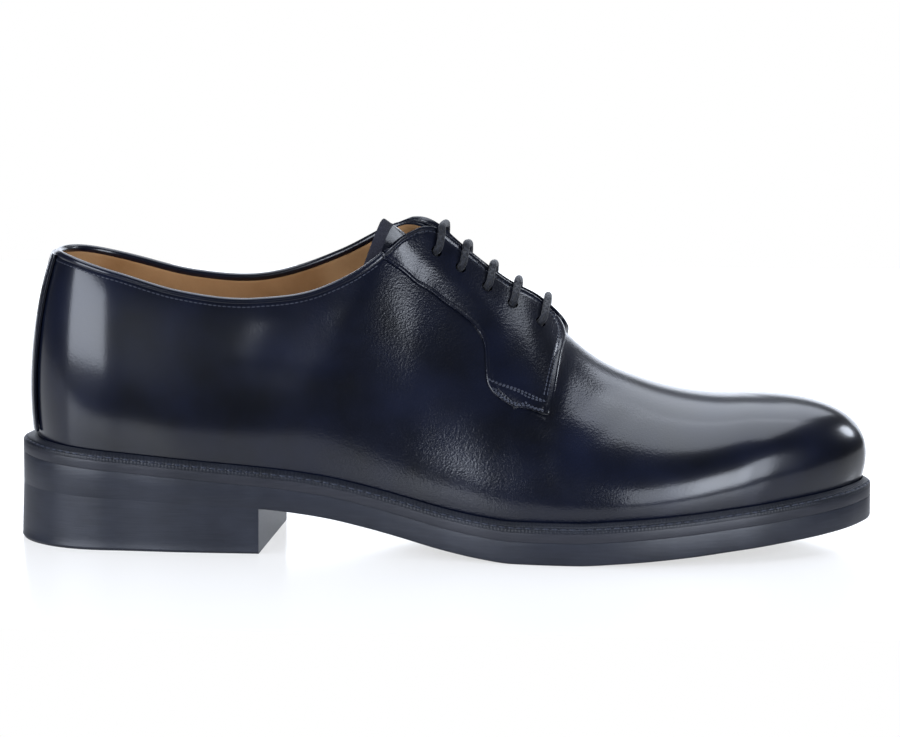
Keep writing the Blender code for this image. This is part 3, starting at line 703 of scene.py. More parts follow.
def give_wall(piece, thickness, rim_material=0, inner_material=0):
    wall = piece.modifiers.new("wall", "SOLIDIFY")
    wall.thickness = thickness
    wall.offset = -1
    wall.use_even_offset = True
    wall.use_quality_normals = True
    wall.material_offset = inner_material
    wall.material_offset_rim = rim_material


def round_edges(piece, width, segments=2, angle=50):
    bevel = piece.modifiers.new("edges", "BEVEL")
    bevel.width = width
    bevel.segments = segments
    bevel.limit_method = "ANGLE"
    bevel.angle_limit = math.radians(angle)


def subdivide(piece, levels=1):
    surface = piece.modifiers.new("surface", "SUBSURF")
    surface.levels = surface.render_levels = levels


# %% A tube along a path
def frames_along(points):
    """For each point of a path, the way it runs and a normal that turns as little as it can."""
    ways = [(b - a).normalized() for a, b in zip(points, points[1:])]
    ways = [ways[0]] + [(a + b).normalized() for a, b in zip(ways, ways[1:])] + [ways[-1]]
    normal = ways[0].orthogonal().normalized()
    frames = []
    for way in ways:
        normal = (normal - way * normal.dot(way)).normalized()
        frames.append((way, normal, way.cross(normal)))
    return frames


def tube(name, points, radius, sides=12, flat=1.0):
    """A closed tube; its UV map holds turns round it and metres along it."""
    frames = frames_along(points)
    last = len(points) - 1
    run = [0.0]
    for a, b in zip(points, points[1:]):
        run.append(run[-1] + (b - a).length)

    def spot(u, v):
        i = round(v * last)
        _, normal, across = frames[i]
        turn = 2 * math.pi * u
        return points[i] + normal * math.cos(turn) * radius + across * math.sin(turn) * radius * flat

    piece = mapped_grid(name, sides, last, spot)
    for corner in piece.data.uv_layers["run"].data:
        corner.uv.y = run[round(corner.uv.y * last)]

    def cap_ends():
        bpy.ops.mesh.select_mode(type="EDGE")
        bpy.ops.mesh.select_all(action="DESELECT")
        bpy.ops.mesh.select_non_manifold()
        bpy.ops.mesh.edge_face_add()
        bpy.ops.mesh.select_all(action="SELECT")

    in_edit_mode(piece, merge_doubles, cap_ends, face_outwards)
    return piece


def resample(points, pitch):
    """Points at an even pitch along a path, with the way it runs there."""
    run = [0.0]
    for a, b in zip(points, points[1:]):
        run.append(run[-1] + (b - a).length)
    count = max(2, round(run[-1] / pitch))
    found = []
    for k in range(count):
        target = run[-1] * (k + 0.5) / count
        i = min(max(bisect.bisect_right(run, target) - 1, 0), len(points) - 2)
        s = (target - run[i]) / (run[i + 1] - run[i])
        found.append((points[i].lerp(points[i + 1], s), (points[i + 1] - points[i]).normalized(), i))
    return found


# %% [markdown]
# ## Stitches
# A stitch is a short piece of waxed thread that dives into the leather at both ends. One is modelled
# from a sphere that is drawn out and flattened, and copied along each seam.

# %% One stitch, and rows of it
deselect()
bpy.ops.mesh.primitive_uv_sphere_add(segments=8, ring_count=5, radius=1.0)
stitch_model = bpy.context.object
stitch_points = np.array([vertex.co[:] for vertex in stitch_model.data.vertices])
stitch_points = stitch_points[:, [2, 0, 1]]
stitch_faces = [list(face.vertices) for face in stitch_model.data.polygons]
bpy.data.objects.remove(stitch_model)


def stitches(name, seams, pitch, length, radius):
    """Stitches along seams. A seam is a list of (point, normal)."""
    points, faces = [], []
    for seam in seams:
        for centre, way, i in resample([point for point, _ in seam], pitch):
            normal = seam[i][1]
            across = normal.cross(way).normalized()
            normal = way.cross(across).normalized()
            side = normal.cross(way)
            axes = np.array([way * length / 2, side * radius, normal * radius * 0.8])
            start = len(points) * len(stitch_points)
            points.append(stitch_points @ axes + np.array(centre))
            faces += [[start + k for k in face] for face in stitch_faces]
    mesh = bpy.data.meshes.new(name)
    mesh.from_pydata(np.concatenate(points).tolist(), [], faces)
    piece = bpy.data.objects.new(name, mesh)
    bpy.context.scene.collection.objects.link(piece)
    in_edit_mode(piece, face_outwards)
    print(name, len(points), "stitches")
    return finish_piece(piece, thread, "navy_calf_leather")


# %% [markdown]
# ## The upper
# The upper is one skin here: it turns under the foot at the bottom, rises over the last and ends at
# the topline and the throat. A grid goes once round the shoe, with its first rows folded under.
# Soft troughs are pressed into it where the leather gives, and Solidify adds the lined wall.

# %% Troughs in the leather
# side, place and share at both ends, width in mm, depth in mm: a depth below 0 is a ridge
TROUGHS = (
    (-1, 0.640, 0.52, 0.668, 0.74, 5.0, 0.25),
    (-1, 0.662, 0.40, 0.690, 0.60, 6.0, 0.18),
    (-1, 0.560, 0.30, 0.625, 0.36, 6.0, 0.22),
    (-1, 0.300, 0.62, 0.400, 0.50, 9.0, 0.25),
    (-1, 0.402, 0.84, 0.388, 0.62, 14.0, -0.50),
    (-1, 0.326, 0.86, 0.312, 0.66, 14.0, -0.40),
    (1, 0.640, 0.50, 0.668, 0.74, 5.0, 0.25),
    (1, 0.560, 0.30, 0.625, 0.36, 6.0, 0.20),
    (1, 0.330, 0.60, 0.420, 0.50, 9.0, 0.25),
)


def trough_depth(place, side, share):
    depth = 0.0
    for trough_side, place_a, share_a, place_b, share_b, width, deep in TROUGHS:
        if side != trough_side:
            continue
        run, rise = (place_b - place_a) * 346.0, (share_b - share_a) * 90.0
        x, y = (place - place_a) * 346.0, (share - share_a) * 90.0
        s = min(max((x * run + y * rise) / (run * run + rise * rise), 0.0), 1.0)
        off = math.hypot(x - s * run, y - s * rise)
        depth += deep / 1000 * math.exp(-((off / (0.5 * width)) ** 2))
    return depth


# %% Shape the upper
UPPER_AROUND, UPPER_CORNER, UPPER_RISE = 200, 6, 32
LAST_CORNER = (
    (0.0100, 0.0),
    (0.0060, 0.0),
    (0.0030, 0.0),
    (0.0009, 0.0007),
    (0.0003, 0.0014),
    (0.0001, 0.0022),
)


def around(u):
    """Place and side of a point that goes round the shoe, from the heel along the lateral side."""
    return (2 * u, -1) if u <= 0.5 else (2 - 2 * u, 1)


def upper_spot(u, v):
    place, side = around(u)
    level = round(v * (UPPER_CORNER + UPPER_RISE))
    if level < UPPER_CORNER:
        inward, lift = LAST_CORNER[level]
        out = foot_reach(place, side) - inward
        return rib_point(place, side, out, midsole_top(x_at(place, side, out)) + GAP + lift)
    share = (level - UPPER_CORNER) / UPPER_RISE
    return on_upper(place, side, share, -trough_depth(place, side, share))


upper = mapped_grid("upper_leather", UPPER_AROUND, UPPER_CORNER + UPPER_RISE, upper_spot)
in_edit_mode(upper, merge_doubles, face_outwards)
outside = upper.data.polygons[len(upper.data.polygons) // 4]
if outside.normal.dot(outside.center - Vector((outside.center.x, 0, 0.05))) < 0:
    upper.data.flip_normals()
upper.data.materials.append(box_calf)
upper.data.materials.append(lining)
give_wall(upper, WALL, rim_material=0, inner_material=1)
subdivide(upper)
apply_modifiers(upper)
finish_piece(upper, None, "navy_calf_leather", "upper")

# %% [markdown]
# ## The facings
# A derby's facings are sewn on top of the vamp and carry the eyelets. The edge of each is folded
# and stitched, so it stands up as a small roll with a stitched groove beside it. The grid runs
# across from the rear seam to the front edge, and down from the top corner to the tab.

# %% Edges of a facing: step down, then place and share behind, and in front
FACING = (
    (0.00, 0.4371, 0.985, 0.4385, 1.000),
    (0.08, 0.4541, 0.871, 0.4580, 1.000),
    (0.18, 0.4736, 0.778, 0.4800, 1.000),
    (0.30, 0.4936, 0.748, 0.5060, 1.000),
    (0.42, 0.5140, 0.736, 0.5330, 1.000),
    (0.54, 0.5263, 0.725, 0.5600, 1.000),
    (0.64, 0.5358, 0.698, 0.5860, 1.000),
    (0.72, 0.5403, 0.658, 0.6060, 0.990),
    (0.80, 0.5419, 0.600, 0.6141, 0.890),
    (0.86, 0.5437, 0.531, 0.6120, 0.765),
    (0.92, 0.5481, 0.498, 0.6100, 0.650),
    (0.96, 0.5543, 0.479, 0.6085, 0.560),
    (1.00, 0.5700, 0.452, 0.6052, 0.449),
)
EYELETS = ((0.4868, 0.911), (0.5109, 0.909), (0.5379, 0.905), (0.5642, 0.895), (0.5915, 0.868))
FACING_THICKNESS, FACING_STEP = 0.0013, 0.0010
facing_at = columns(FACING, overshoot=False)


def facing_place(across, step):
    rear_place, rear_share, front_place, front_share = (column(step) for column in facing_at)
    place = rear_place + (front_place - rear_place) * across
    return place, rear_share + (front_share - rear_share) * across


def facing_width(side, step):
    spots = [facing_place(across, step) for across in (0, 1)]
    rear, front = (on_upper(place, side, share) for place, share in spots)
    return max((front - rear).length, 0.0002)


def smooth_step(share):
    share = min(max(share, 0.0), 1.0)
    return share * share * (3 - 2 * share)


def facing_height(side, across, step):
    """How far the facing's face stands out from the upper. It is pared thin along the rear seam,
    and each edge has a roll with a groove inside it."""
    width = facing_width(side, step)
    off_rear, off_front = across * width, (1 - across) * width
    thickness = FACING_THICKNESS * (0.25 + 0.75 * smooth_step(off_rear / 0.010))
    height = GAP + thickness + FACING_STEP * across * across
    height += 0.00030 * math.exp(-(((off_rear - 0.0006) / 0.0006) ** 2))
    height -= 0.00022 * math.exp(-(((off_rear - 0.0017) / 0.0006) ** 2))
    height += 0.00025 * math.exp(-(((off_front - 0.0007) / 0.0006) ** 2))
    height -= 0.00030 * math.exp(-(((off_front - 0.0019) / 0.0005) ** 2))
    return height


def facing_point(side, across, step, lift=0.0):
    place, share = facing_place(across, step)
    return on_upper(place, side, share, facing_height(side, across, step) + lift)


# %% Shape the facings, and punch their eyelets
FACING_ACROSS, FACING_DOWN = 36, 90


def across_of(u):
    """Packs the grid's lines closer at both edges, where the roll is."""
    return 0.5 - 0.5 * math.copysign(abs(1 - 2 * u) ** 0.7, 1 - 2 * u) if u not in (0, 1) else u


def punch_eyelets(piece, side):
    for place, share in EYELETS:
        centre = on_upper(place, side, share)
        turn = upper_normal(place, side, share).to_track_quat("Z", "Y")
        deselect()
        bpy.ops.mesh.primitive_cylinder_add(
            vertices=20, radius=0.0020, depth=0.012, location=centre, rotation=turn.to_euler()
        )
        cutter = bpy.context.object
        hole = piece.modifiers.new("eyelet", "BOOLEAN")
        hole.operation = "DIFFERENCE"
        hole.solver = "EXACT"
        hole.object = cutter
        apply_modifiers(piece)
        bpy.data.objects.remove(cutter)


facings = {}
for side, name in ((-1, "facing_lateral"), (1, "facing_medial")):
    facing = mapped_grid(
        name + "_leather",
        FACING_ACROSS,
        FACING_DOWN,
        lambda u, v: facing_point(side, across_of(u), 1 - v),
    )
    in_edit_mode(facing, face_outwards)
    outside = facing.data.polygons[FACING_ACROSS * FACING_DOWN // 2]
    if outside.normal.y * side < 0:
        facing.data.flip_normals()
    give_wall(facing, FACING_THICKNESS + 0.0004)
    round_edges(facing, 0.00035, segments=2)
    apply_modifiers(facing)
    punch_eyelets(facing, side)
    facings[side] = finish_piece(facing, box_calf, "navy_calf_leather", name)

# %% [markdown]
# ## Laces
# Five bars of round cord cross the throat. Each comes up through an eyelet, bends over the
# facing's edge, crosses, and goes down through the eyelet on the other side, where it ends.

# %% Thread the laces
LACE_RADIUS = 0.00132


def lace_path(place, share):
    half_paths = []
    for side in (-1, 1):
        top = GAP + FACING_THICKNESS + FACING_STEP + 0.0003
        half = [
            on_upper(place, side, share, -0.0032),
            on_upper(place, side, share, 0.0006),
            on_upper(place, side, share + 0.006, top + 0.6 * LACE_RADIUS),
            on_upper(place, side, (2 * share + 1) / 3, top + LACE_RADIUS + 0.0002),
            on_upper(place, side, (share + 2) / 3, top + LACE_RADIUS + 0.0003),
            on_upper(place, side, 1.0, top + LACE_RADIUS + 0.0004),
        ]
        half_paths.append(half)
    crown = (half_paths[0][-1] + half_paths[1][-1]) / 2 + Vector((0, 0, 0.0003))
    points = half_paths[0] + [crown] + half_paths[1][::-1]
    spots = list(range(len(points)))
    axes = [smooth_curve(spots, [point[k] for point in points]) for k in range(3)]
    count = 72
    return [Vector([axis((len(points) - 1) * i / count) for axis in axes]) for i in range(count + 1)]


for number, (place, share) in enumerate(EYELETS, start=1):
    lace = tube(f"lace_cord_{number}", lace_path(place, share), LACE_RADIUS, sides=14)
    finish_piece(lace, cord_cotton, "waxed_cotton_cord", f"lace_bar_{number}")

# %% [markdown]
# ## The tongue
# The tongue is a soft sheet under the throat: calf outside, lining inside, and a rough suede
# binding round its end. It follows the underside of the upper and runs on past it, up to a crest
# over the instep. The end is cut square to its run, so its sides lie behind the crest.

# %% Shape the tongue
TONGUE_THICKNESS, TONGUE_WIDTH, TONGUE_GAP = 0.0024, 0.0500, 0.0006
TONGUE_FRONT, TONGUE_BACK = 0.640, 0.492


def tongue_under(place, across):
    """A point of the tongue under the upper. across runs from -1, lateral, to 1, medial."""
    depth = WALL + TONGUE_GAP
    inner = []
    for side in (-1, 1):
        off = max(abs(across), 0.4) * TONGUE_WIDTH / 2
        inner.append(on_upper(place, side, 1 - off / rib_trace(place, side)[2], -depth))
    if abs(across) >= 0.4:
        return inner[0 if across < 0 else 1]
    s = (across + 0.4) / 0.8
    bow = 0.0012 * (1 - (across / 0.4) ** 2)
    return inner[0].lerp(inner[1], s) + Vector((0, 0, bow))


# The end's crest, how far its sides lie behind and below the crest, and its half width
TONGUE_CREST = Vector((-0.0215, -0.0005, 0.1147))
TONGUE_SWEEP, TONGUE_FALL, TONGUE_HALF_END = 0.0100, 0.0290, 0.0205
TONGUE_UNDER_ROWS = 0.70


def tongue_end(across):
    fall = TONGUE_FALL * abs(across) ** 1.7
    sweep = TONGUE_SWEEP * abs(across) ** 1.3
    return TONGUE_CREST + Vector((-sweep, across * TONGUE_HALF_END, -fall))


def tongue_spot(u, v):
    across = 2 * u - 1
    if v <= TONGUE_UNDER_ROWS:
        run = v / TONGUE_UNDER_ROWS
        return tongue_under(TONGUE_FRONT + (TONGUE_BACK - TONGUE_FRONT) * run, across)
    run = (v - TONGUE_UNDER_ROWS) / (1 - TONGUE_UNDER_ROWS)
    start = tongue_under(TONGUE_BACK, across)
    way = (start - tongue_under(TONGUE_BACK + 0.0185, across)).normalized()
    end = tongue_end(across)
    bend = start + way * (end - start).length * 0.45
    return start * (1 - run) ** 2 + bend * 2 * run * (1 - run) + end * run * run


TONGUE_COLUMNS, TONGUE_ROWS, TONGUE_BOUND_ROWS = 32, 60, 3
tongue = mapped_grid("tongue_leather", TONGUE_COLUMNS, TONGUE_ROWS, tongue_spot)
in_edit_mode(tongue, face_outwards)
if tongue.data.polygons[len(tongue.data.polygons) // 2].normal.z < 0:
    tongue.data.flip_normals()
for material in (box_calf, lining, raw_edge):
    tongue.data.materials.append(material)
for face in tongue.data.polygons:
    if face.index // TONGUE_COLUMNS >= TONGUE_ROWS - TONGUE_BOUND_ROWS:
        face.material_index = 2
give_wall(tongue, TONGUE_THICKNESS, rim_material=2, inner_material=1)
round_edges(tongue, 0.0007)
apply_modifiers(tongue)
finish_piece(tongue, None, "navy_calf_leather", "tongue")

# %% [markdown]
# ## The back strip
# A narrow strip covers the seam at the heel's back. It is thin, its edges are folded, and its top
# end stops just under the topline.

# %% Shape the back strip
STRIP_WIDTH = 0.0300
STRIP_HALF_TURN = STRIP_WIDTH / 2 / (HALF_HEEL * math.pi / 2) * HEEL_END


def strip_point(across, share, lift=0.0):
    edge = (1 - abs(across)) * 0.015
    height = GAP + 0.0011 + 0.00012 * math.exp(-(((edge - 0.0007) / 0.0006) ** 2))
    height -= 0.00018 * math.exp(-(((edge - 0.0019) / 0.0006) ** 2))
    return on_upper(across * STRIP_HALF_TURN, 1, share, height + lift)


strip = mapped_grid("back_strip_leather", 40, 40, lambda u, v: strip_point(2 * u - 1, 0.03 + 0.965 * v))
in_edit_mode(strip, face_outwards)
if strip.data.polygons[len(strip.data.polygons) // 2].normal.x > 0:
    strip.data.flip_normals()
give_wall(strip, 0.0012)
round_edges(strip, 0.0003)
apply_modifiers(strip)
finish_piece(strip, box_calf, "navy_calf_leather", "back_strip")

# %% [markdown]
# ## The topline's roll
# The top edge of the quarters is bound: a narrow strip of calf is folded over it, which shows as
# a thin roll all round the collar.

# %% Shape the roll
roll_path = []
for place in np.linspace(0.438, 0.0, 90):
    roll_path.append(on_upper(float(place), -1, 1.0, -WALL / 2) + Vector((0, 0, 0.0001)))
for place in np.linspace(0.005, 0.438, 90):
    roll_path.append(on_upper(float(place), 1, 1.0, -WALL / 2) + Vector((0, 0, 0.0001)))
roll = tube("topline_roll", roll_path, 0.00142, sides=12)
finish_piece(roll, box_calf, "navy_calf_leather")

# %% [markdown]
# ## The welt
# The welt is a strip of leather that is sewn round the foot of the upper. Its inner ridge hugs the
# upper and its top falls to a thin outer edge, with a line of stitches in a groove near it.
# The top is pressed with fine ridges across, so a UV map that runs along the strip carries them.

# %% Ring-shaped layers of the sole
def ring(name, around_count, profile, closed=True):
    """A piece that goes all the way round. profile(place, side) gives (out, height) points."""
    count = len(profile(0.5, 1))
    rows = count if closed else count - 1

    def spot(u, v):
        place, side = around(u)
        points = profile(place, side)
        out, height = points[round(v * rows) % count]
        return rib_point(place, side, out, height)

    piece = mapped_grid(name, around_count, rows, spot)
    in_edit_mode(piece, merge_doubles, face_outwards)
    return piece


def welt_profile(place, side):
    inner, outer = foot_reach(place, side) + 0.5 * GAP, reach(place, side)
    width = outer - inner
    base = [midsole_top(x_at(place, side, out)) + 0.1 * GAP for out in (inner, outer)]
    crest = WELT_HEIGHT - GAP
    shape = (
        (0.0, base[0]),
        (1.0, base[1]),
        (1.0, base[1] + 0.0007),
        (0.97, base[1] + WELT_EDGE),
        (0.93, base[1] + 0.41 * crest),
        (0.87, base[1] + 0.45 * crest),
        (0.83, base[1] + 0.42 * crest),
        (0.75, base[1] + 0.44 * crest),
        (0.70, base[1] + 0.58 * crest),
        (0.62, base[1] + 0.68 * crest),
        (0.45, base[1] + 0.76 * crest),
        (0.30, base[0] + 0.93 * crest),
        (0.18, base[0] + 1.02 * crest),
        (0.08, base[0] + 1.00 * crest),
        (0.0, base[0] + 0.90 * crest),
    )
    return [(inner + across * width, height) for across, height in shape]


welt = ring("welt_strip", 400, welt_profile)
finish_piece(welt, welt_leather, "welt_leather", "welt")

# %% [markdown]
# ## Midsole and outsole
# Under the welt lies a thin midsole, and under that the outsole, which is trimmed flush with it.
# The join between the layers shows as a fine dark line, so each layer has a small bevel.

# %% Shape the layers
def layer_profile(low, high, rounding_top, low_rounding):
    def profile(place, side):
        edge = reach(place, side)
        rounding_low = low_rounding(x_at(place, side, edge))
        shape = [(0.0, 1), (0.5 * edge, 1), (edge - 0.003, 1), (edge - rounding_top, 1)]
        points = [(out, high(x_at(place, side, out))) for out, _ in shape]
        top, base = high(x_at(place, side, edge)), low(x_at(place, side, edge))
        points += [(edge - 0.3 * rounding_top, top - 0.3 * rounding_top), (edge, top - rounding_top)]
        points += [(edge, base + rounding_low), (edge - 0.3 * rounding_low, base + 0.3 * rounding_low)]
        under = [edge - rounding_low, edge - 0.004, 0.5 * edge, 0.0]
        points += [(out, low(x_at(place, side, out))) for out in under]
        return points

    return profile


def tread_rounding(x):
    """The tread's edge is rounded where it shows, and sharp where the heel is built on it."""
    return 0.0001 if x < BREAST else 0.0010


outsole = ring(
    "outsole_layer",
    320,
    layer_profile(tread_height, outsole_top, 0.00015, tread_rounding),
    closed=False,
)
finish_piece(outsole, sole_rubber, "sole_rubber", "outsole")
midsole = ring(
    "midsole_layer",
    320,
    layer_profile(lambda x: outsole_top(x) + 0.02 * GAP, midsole_top, 0.00015, lambda x: 0.00015),
    closed=False,
)
finish_piece(midsole, midsole_edge, "midsole_leather", "midsole")

# %% [markdown]
# ## The heel
# The heel block follows the outline of the sole behind its breast and spreads a little towards the
# floor, where a narrow chamfer is trimmed round it. The outline is laid out once as a closed loop:
# round the back, then straight across the breast. The loop is repeated at each height, and it
# shrinks to a point in the middle of the seat and of the tread, so the block is closed.

# %% Shape the heel
BREAST_SKEW = 0.0030
HEEL_AROUND, HEEL_BACK_SHARE = 120, 0.85
HEEL_CENTRE = Vector((HEEL_PIVOT + 0.012, 0.0, 0.0))

# Height as a share of the block, how far it stands out in mm, and the size of the loop
HEEL_PROFILE = (
    (1.00, 0.0, 0.0),
    (1.00, 0.0, 0.5),
    (1.00, 0.0, 0.97),
    (1.00, -0.02, 1.0),
    (0.99, 0.0, 1.0),
    (0.75, 0.17, 1.0),
    (0.50, 0.35, 1.0),
    (0.25, 0.52, 1.0),
    (0.066, 0.62, 1.0),
    (0.058, 0.70, 1.0),
    (0.046, 0.70, 1.0),
    (0.0, 0.05, 1.0),
    (0.0, 0.0, 0.97),
    (0.0, 0.0, 0.5),
    (0.0, 0.0, 0.0),
)


def place_of(x):
    return HEEL_END + (TOE_START - HEEL_END) * (x - HEEL_PIVOT) / (TOE_PIVOT - HEEL_PIVOT)


def heel_edge(u, out):
    """A point of the heel's outline seen from above."""
    corners = (place_of(BREAST), -1), (place_of(BREAST + BREAST_SKEW), 1)
    if u > HEEL_BACK_SHARE:
        medial, lateral = (
            rib_point(place, side, reach(place, side) + out, 0.0) for place, side in corners[::-1]
        )
        return medial.lerp(lateral, (u - HEEL_BACK_SHARE) / (1 - HEEL_BACK_SHARE))
    round_back = 2 * u / HEEL_BACK_SHARE - 1
    place, side = corners[0] if round_back < 0 else corners[1]
    place *= abs(round_back)
    return rib_point(place, side, reach(place, side) + out, 0.0)


def heel_spot(u, v):
    share, out, size = HEEL_PROFILE[round(v * (len(HEEL_PROFILE) - 1))]
    point = HEEL_CENTRE.lerp(heel_edge(u, out / 1000), size)
    point.z = share * (tread_height(min(point.x, BREAST - 0.0001)) + 0.0001)
    return point


heel = mapped_grid("heel_block", HEEL_AROUND, len(HEEL_PROFILE) - 1, heel_spot)
in_edit_mode(heel, merge_doubles, face_outwards)
finish_piece(heel, sole_rubber, "sole_rubber", "heel")

# %% [markdown]
# ## Underneath, and the sock inside
# The tread and the heel's foot carry plain moulded bars. The faces that look down get a material
# of their own for it. Inside, a thin leather sock lies on the insole.

# %% Give the faces that look down their moulded bars
def mould_tread(piece):
    piece.data.materials.append(tread_rubber)
    for face in piece.data.polygons:
        if face.normal.z < -0.8:
            face.material_index = 1


for piece in (outsole, heel):
    mould_tread(piece)
print("moulded the tread")

# %% Shape the insole and its sock
INSOLE_THICKNESS, INSOLE_CLEARANCE, INSOLE_ROUND = 0.0030, 0.0010, 0.0008


def insole_profile(place, side):
    edge = foot_reach(place, side) - WALL - INSOLE_CLEARANCE
    outs = [0.0, 0.4 * edge, 0.8 * edge, edge - INSOLE_ROUND]
    above = [(out, insole_low(place, side, out) + INSOLE_THICKNESS) for out in outs]
    rim = insole_low(place, side, edge)
    above += [(edge, rim + INSOLE_THICKNESS - INSOLE_ROUND), (edge, rim + INSOLE_ROUND)]
    below = [(out, insole_low(place, side, out)) for out in reversed(outs)]
    return above + below


def insole_low(place, side, out):
    return midsole_top(x_at(place, side, out)) + WALL + 2 * GAP


insole = ring("insole_sock", 200, insole_profile, closed=False)
finish_piece(insole, lining, "tan_lining_leather", "insole")

# %% [markdown]
# ## Rows of stitching
# Two rows hold each facing, a row runs under the topline's roll, one down each side of the
# back strip, and a coarser one round the welt.

# %% Sew the facings
def facing_seam(side, across_mm, from_rear, steps):
    """A seam at a distance inside a facing's rear or front edge."""
    seam = []
    for step in steps:
        width = facing_width(side, step)
        across = min(across_mm / 1000 / width, 0.5)
        across = across if from_rear else 1 - across
        place, share = facing_place(across, step)
        seam.append((facing_point(side, across, step, 0.00005), upper_normal(place, side, share)))
    return seam


# The row across the tab, as (across, step) spots on the facing
TAB_ROW = (
    (0.01, 0.862),
    (0.12, 0.900),
    (0.25, 0.930),
    (0.40, 0.953),
    (0.55, 0.968),
    (0.72, 0.977),
    (0.88, 0.981),
)


def tab_seam(side, spots, inside):
    """A seam across the tab, moved towards its middle."""
    return [seam_spot(side, across, step, inside) for across, step in spots]


def seam_spot(side, across, step, inside):
    """A point just above the tab, drawn in from a spot towards the tab's middle, and its normal."""
    middle = facing_point(side, 0.45, 0.985)
    place, share = facing_place(across, step)
    point = facing_point(side, across, step, 0.00015)
    point += (middle - point).normalized() * inside
    return point, upper_normal(place, side, share)


def low_tab_seam(side, inside):
    """A seam that follows the tab's lower edge, from its rear corner to the front."""
    edge = [(0.0, step) for step in (0.90, 0.92, 0.94, 0.96, 0.98)]
    edge += [(across, 1.0) for across in (0.0, 0.2, 0.4, 0.6, 0.8, 0.95)]
    return [seam_spot(side, across, step, inside) for across, step in edge]


def steps_between(start, end, count):
    return [start + (end - start) * i / (count - 1) for i in range(count)]


seams = []
for side in (-1, 1):
    seams.append(facing_seam(side, 1.9, False, steps_between(0.04, 0.97, 90)))
    seams.append(facing_seam(side, 3.0, False, steps_between(0.70, 0.97, 40)))
stitches("facing_stitches", seams, pitch=0.0017, length=0.0014, radius=0.00024)

# The tab is sewn down with short dense stitches: two rows across it, two inside its lower edge
tab_rows = []
for side in (-1, 1):
    tab_rows += [tab_seam(side, TAB_ROW, inside) for inside in (0.0, 0.0011)]
    tab_rows += [low_tab_seam(side, inside) for inside in (0.0012, 0.0022)]
stitches("tab_stitches", tab_rows, pitch=0.0014, length=0.0011, radius=0.00040)

# %% Sew the topline, the back strip and the welt
TOPLINE_SEAM_DROP = 0.0021
seams = []
for side in (-1, 1):
    seam = []
    for place in np.linspace(0.045, 0.432, 110):
        place = float(place)
        length = rib_trace(place, side)[2]
        share = 1 - TOPLINE_SEAM_DROP / length
        seam.append((on_upper(place, side, share, 0.00005), upper_normal(place, side, share)))
    seams.append(seam)
for across in (-0.874, 0.874):
    seam = []
    for share in np.linspace(0.04, 0.95, 50):
        place = across * STRIP_HALF_TURN
        side = 1 if place > 0 else -1
        normal = upper_normal(abs(place), side, float(share))
        seam.append((strip_point(across, float(share), 0.00004), normal))
    seams.append(seam)
stitches("quarter_stitches", seams, pitch=0.0017, length=0.0014, radius=0.00022)

seam = []
for u in np.linspace(0.0, 1.0, 700):
    place, side = around(float(u))
    points = welt_profile(place, side)
    out, height = ((points[6][k] + points[7][k]) / 2 for k in (0, 1))
    seam.append((rib_point(place, side, out, height), Vector((0, 0, 1))))
stitches("welt_stitches", [seam], pitch=0.0031, length=0.0025, radius=0.00045)

# %% [markdown]
# ## The studio
# The shoe stands on a white gloss table in a white room. What the leather mirrors is not the room
# but a few large soft lamps: one at the heel's side, three at the toe, two behind and one
# above. The dark gaps between them are what makes navy leather look deep, so the world is white
# to the camera and nearly black to everything else. The table is as white as the room behind it,
# so its near edge can lie in the picture unseen, and the leather mirrors less of it.

# %% Floor and room
FLOOR_HALF_WIDTH, FLOOR_FRONT, FLOOR_BACK = 1.3, -0.17, 0.75
deselect()
bpy.ops.mesh.primitive_plane_add(size=1.0, location=(0, 0, 0))
floor = bpy.context.object
floor.name = "studio_floor"
for vertex in floor.data.vertices:
    vertex.co.x = math.copysign(FLOOR_HALF_WIDTH, vertex.co.x)
    vertex.co.y = FLOOR_FRONT if vertex.co.y < 0 else FLOOR_BACK
floor_paint, floor_shader = new_material("white_gloss_table", Roughness=0.16, IOR=1.45)
floor_shader.inputs["Base Color"].default_value = linear("#BCBCBC")
floor_shader.inputs["Emission Color"].default_value = linear("#FFFFFF")
seen = add_node(floor_paint, "ShaderNodeLightPath").outputs["Is Camera Ray"]
glow = add_node(floor_paint, "ShaderNodeMapRange", {"Value": seen, "To Min": 0.20, "To Max": 0.62})
floor_paint.node_tree.links.new(glow.outputs[0], floor_shader.inputs["Emission Strength"])
floor.data.materials.append(floor_paint)

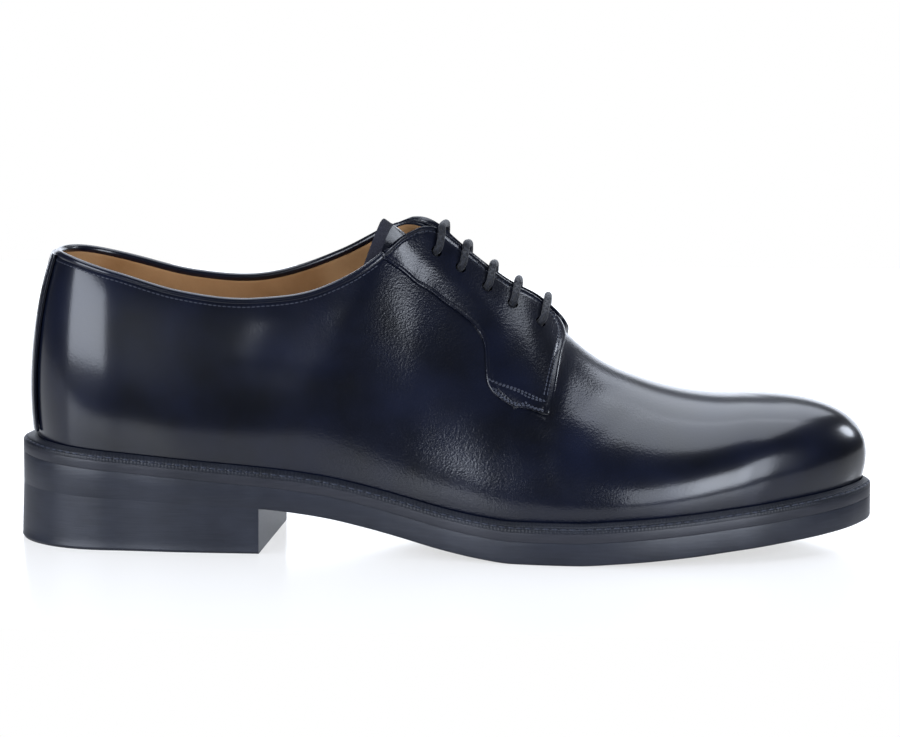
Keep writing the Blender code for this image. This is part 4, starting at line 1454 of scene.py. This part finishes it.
bpy.context.scene.view_settings.view_transform = "Standard"
world = bpy.data.worlds.new("studio_room")
bpy.context.scene.world = world
world.use_nodes = True
rays = add_node(world, "ShaderNodeLightPath")
room_light = add_node(
    world,
    "ShaderNodeMapRange",
    {"Value": rays.outputs["Is Camera Ray"], "To Min": 0.04, "To Max": 1.0},
)
world.node_tree.links.new(
    room_light.outputs["Result"], world.node_tree.nodes["Background"].inputs["Strength"]
)
world.node_tree.nodes["Background"].inputs["Color"].default_value = (1.0, 1.0, 1.0, 1.0)

# %% Lamps: where each stands as seen from the shoe, how far off, its size and its brightness
AIM = Vector((0.0, 0.0, 0.05))
LAMP_COLOUR = (0.83, 0.89, 1.0)


def soft_lamp(name, azimuth, elevation, distance, width, height, radiance, aim=AIM):
    """Azimuth is 0 towards the camera and turns to the toe.

    The radiance is in watts per square metre and steradian.
    """
    a, e = math.radians(azimuth), math.radians(elevation)
    way = Vector((math.sin(a) * math.cos(e), -math.cos(a) * math.cos(e), math.sin(e)))
    lamp = bpy.data.lights.new(name, "AREA")
    lamp.shape = "RECTANGLE"
    lamp.size, lamp.size_y = width, height
    lamp.energy = radiance * math.pi * width * height
    lamp.color = LAMP_COLOUR
    holder = bpy.data.objects.new(name, lamp)
    holder.location = aim + way * distance
    holder.rotation_euler = way.to_track_quat("Z", "Y").to_euler()
    holder.visible_camera = False
    bpy.context.scene.collection.objects.link(holder)
    return holder


soft_lamp("heel_side_lamp", -42, 18, 0.66, 0.62, 0.38, 5.8, aim=Vector((-0.12, 0.0, 0.05)))
soft_lamp("toe_side_lamp", 42, 16, 1.25, 0.62, 0.66, 5.5)
soft_lamp("toe_low_lamp", 18, 9, 0.383, 0.23, 0.20, 3.0, aim=Vector((0.10, 0.0, 0.05)))
tip_lamp = soft_lamp("toe_tip_lamp", 122, 21, 0.90, 0.20, 0.24, 6.5)
tip_lamp.data.shape = "ELLIPSE"
soft_lamp("back_lamp", 178, 48, 1.50, 1.40, 0.85, 2.2)
soft_lamp("low_back_lamp", 180, 8, 1.80, 2.20, 0.62, 1.8)
soft_lamp("top_lamp", 180, 80, 1.40, 1.60, 0.90, 2.6)
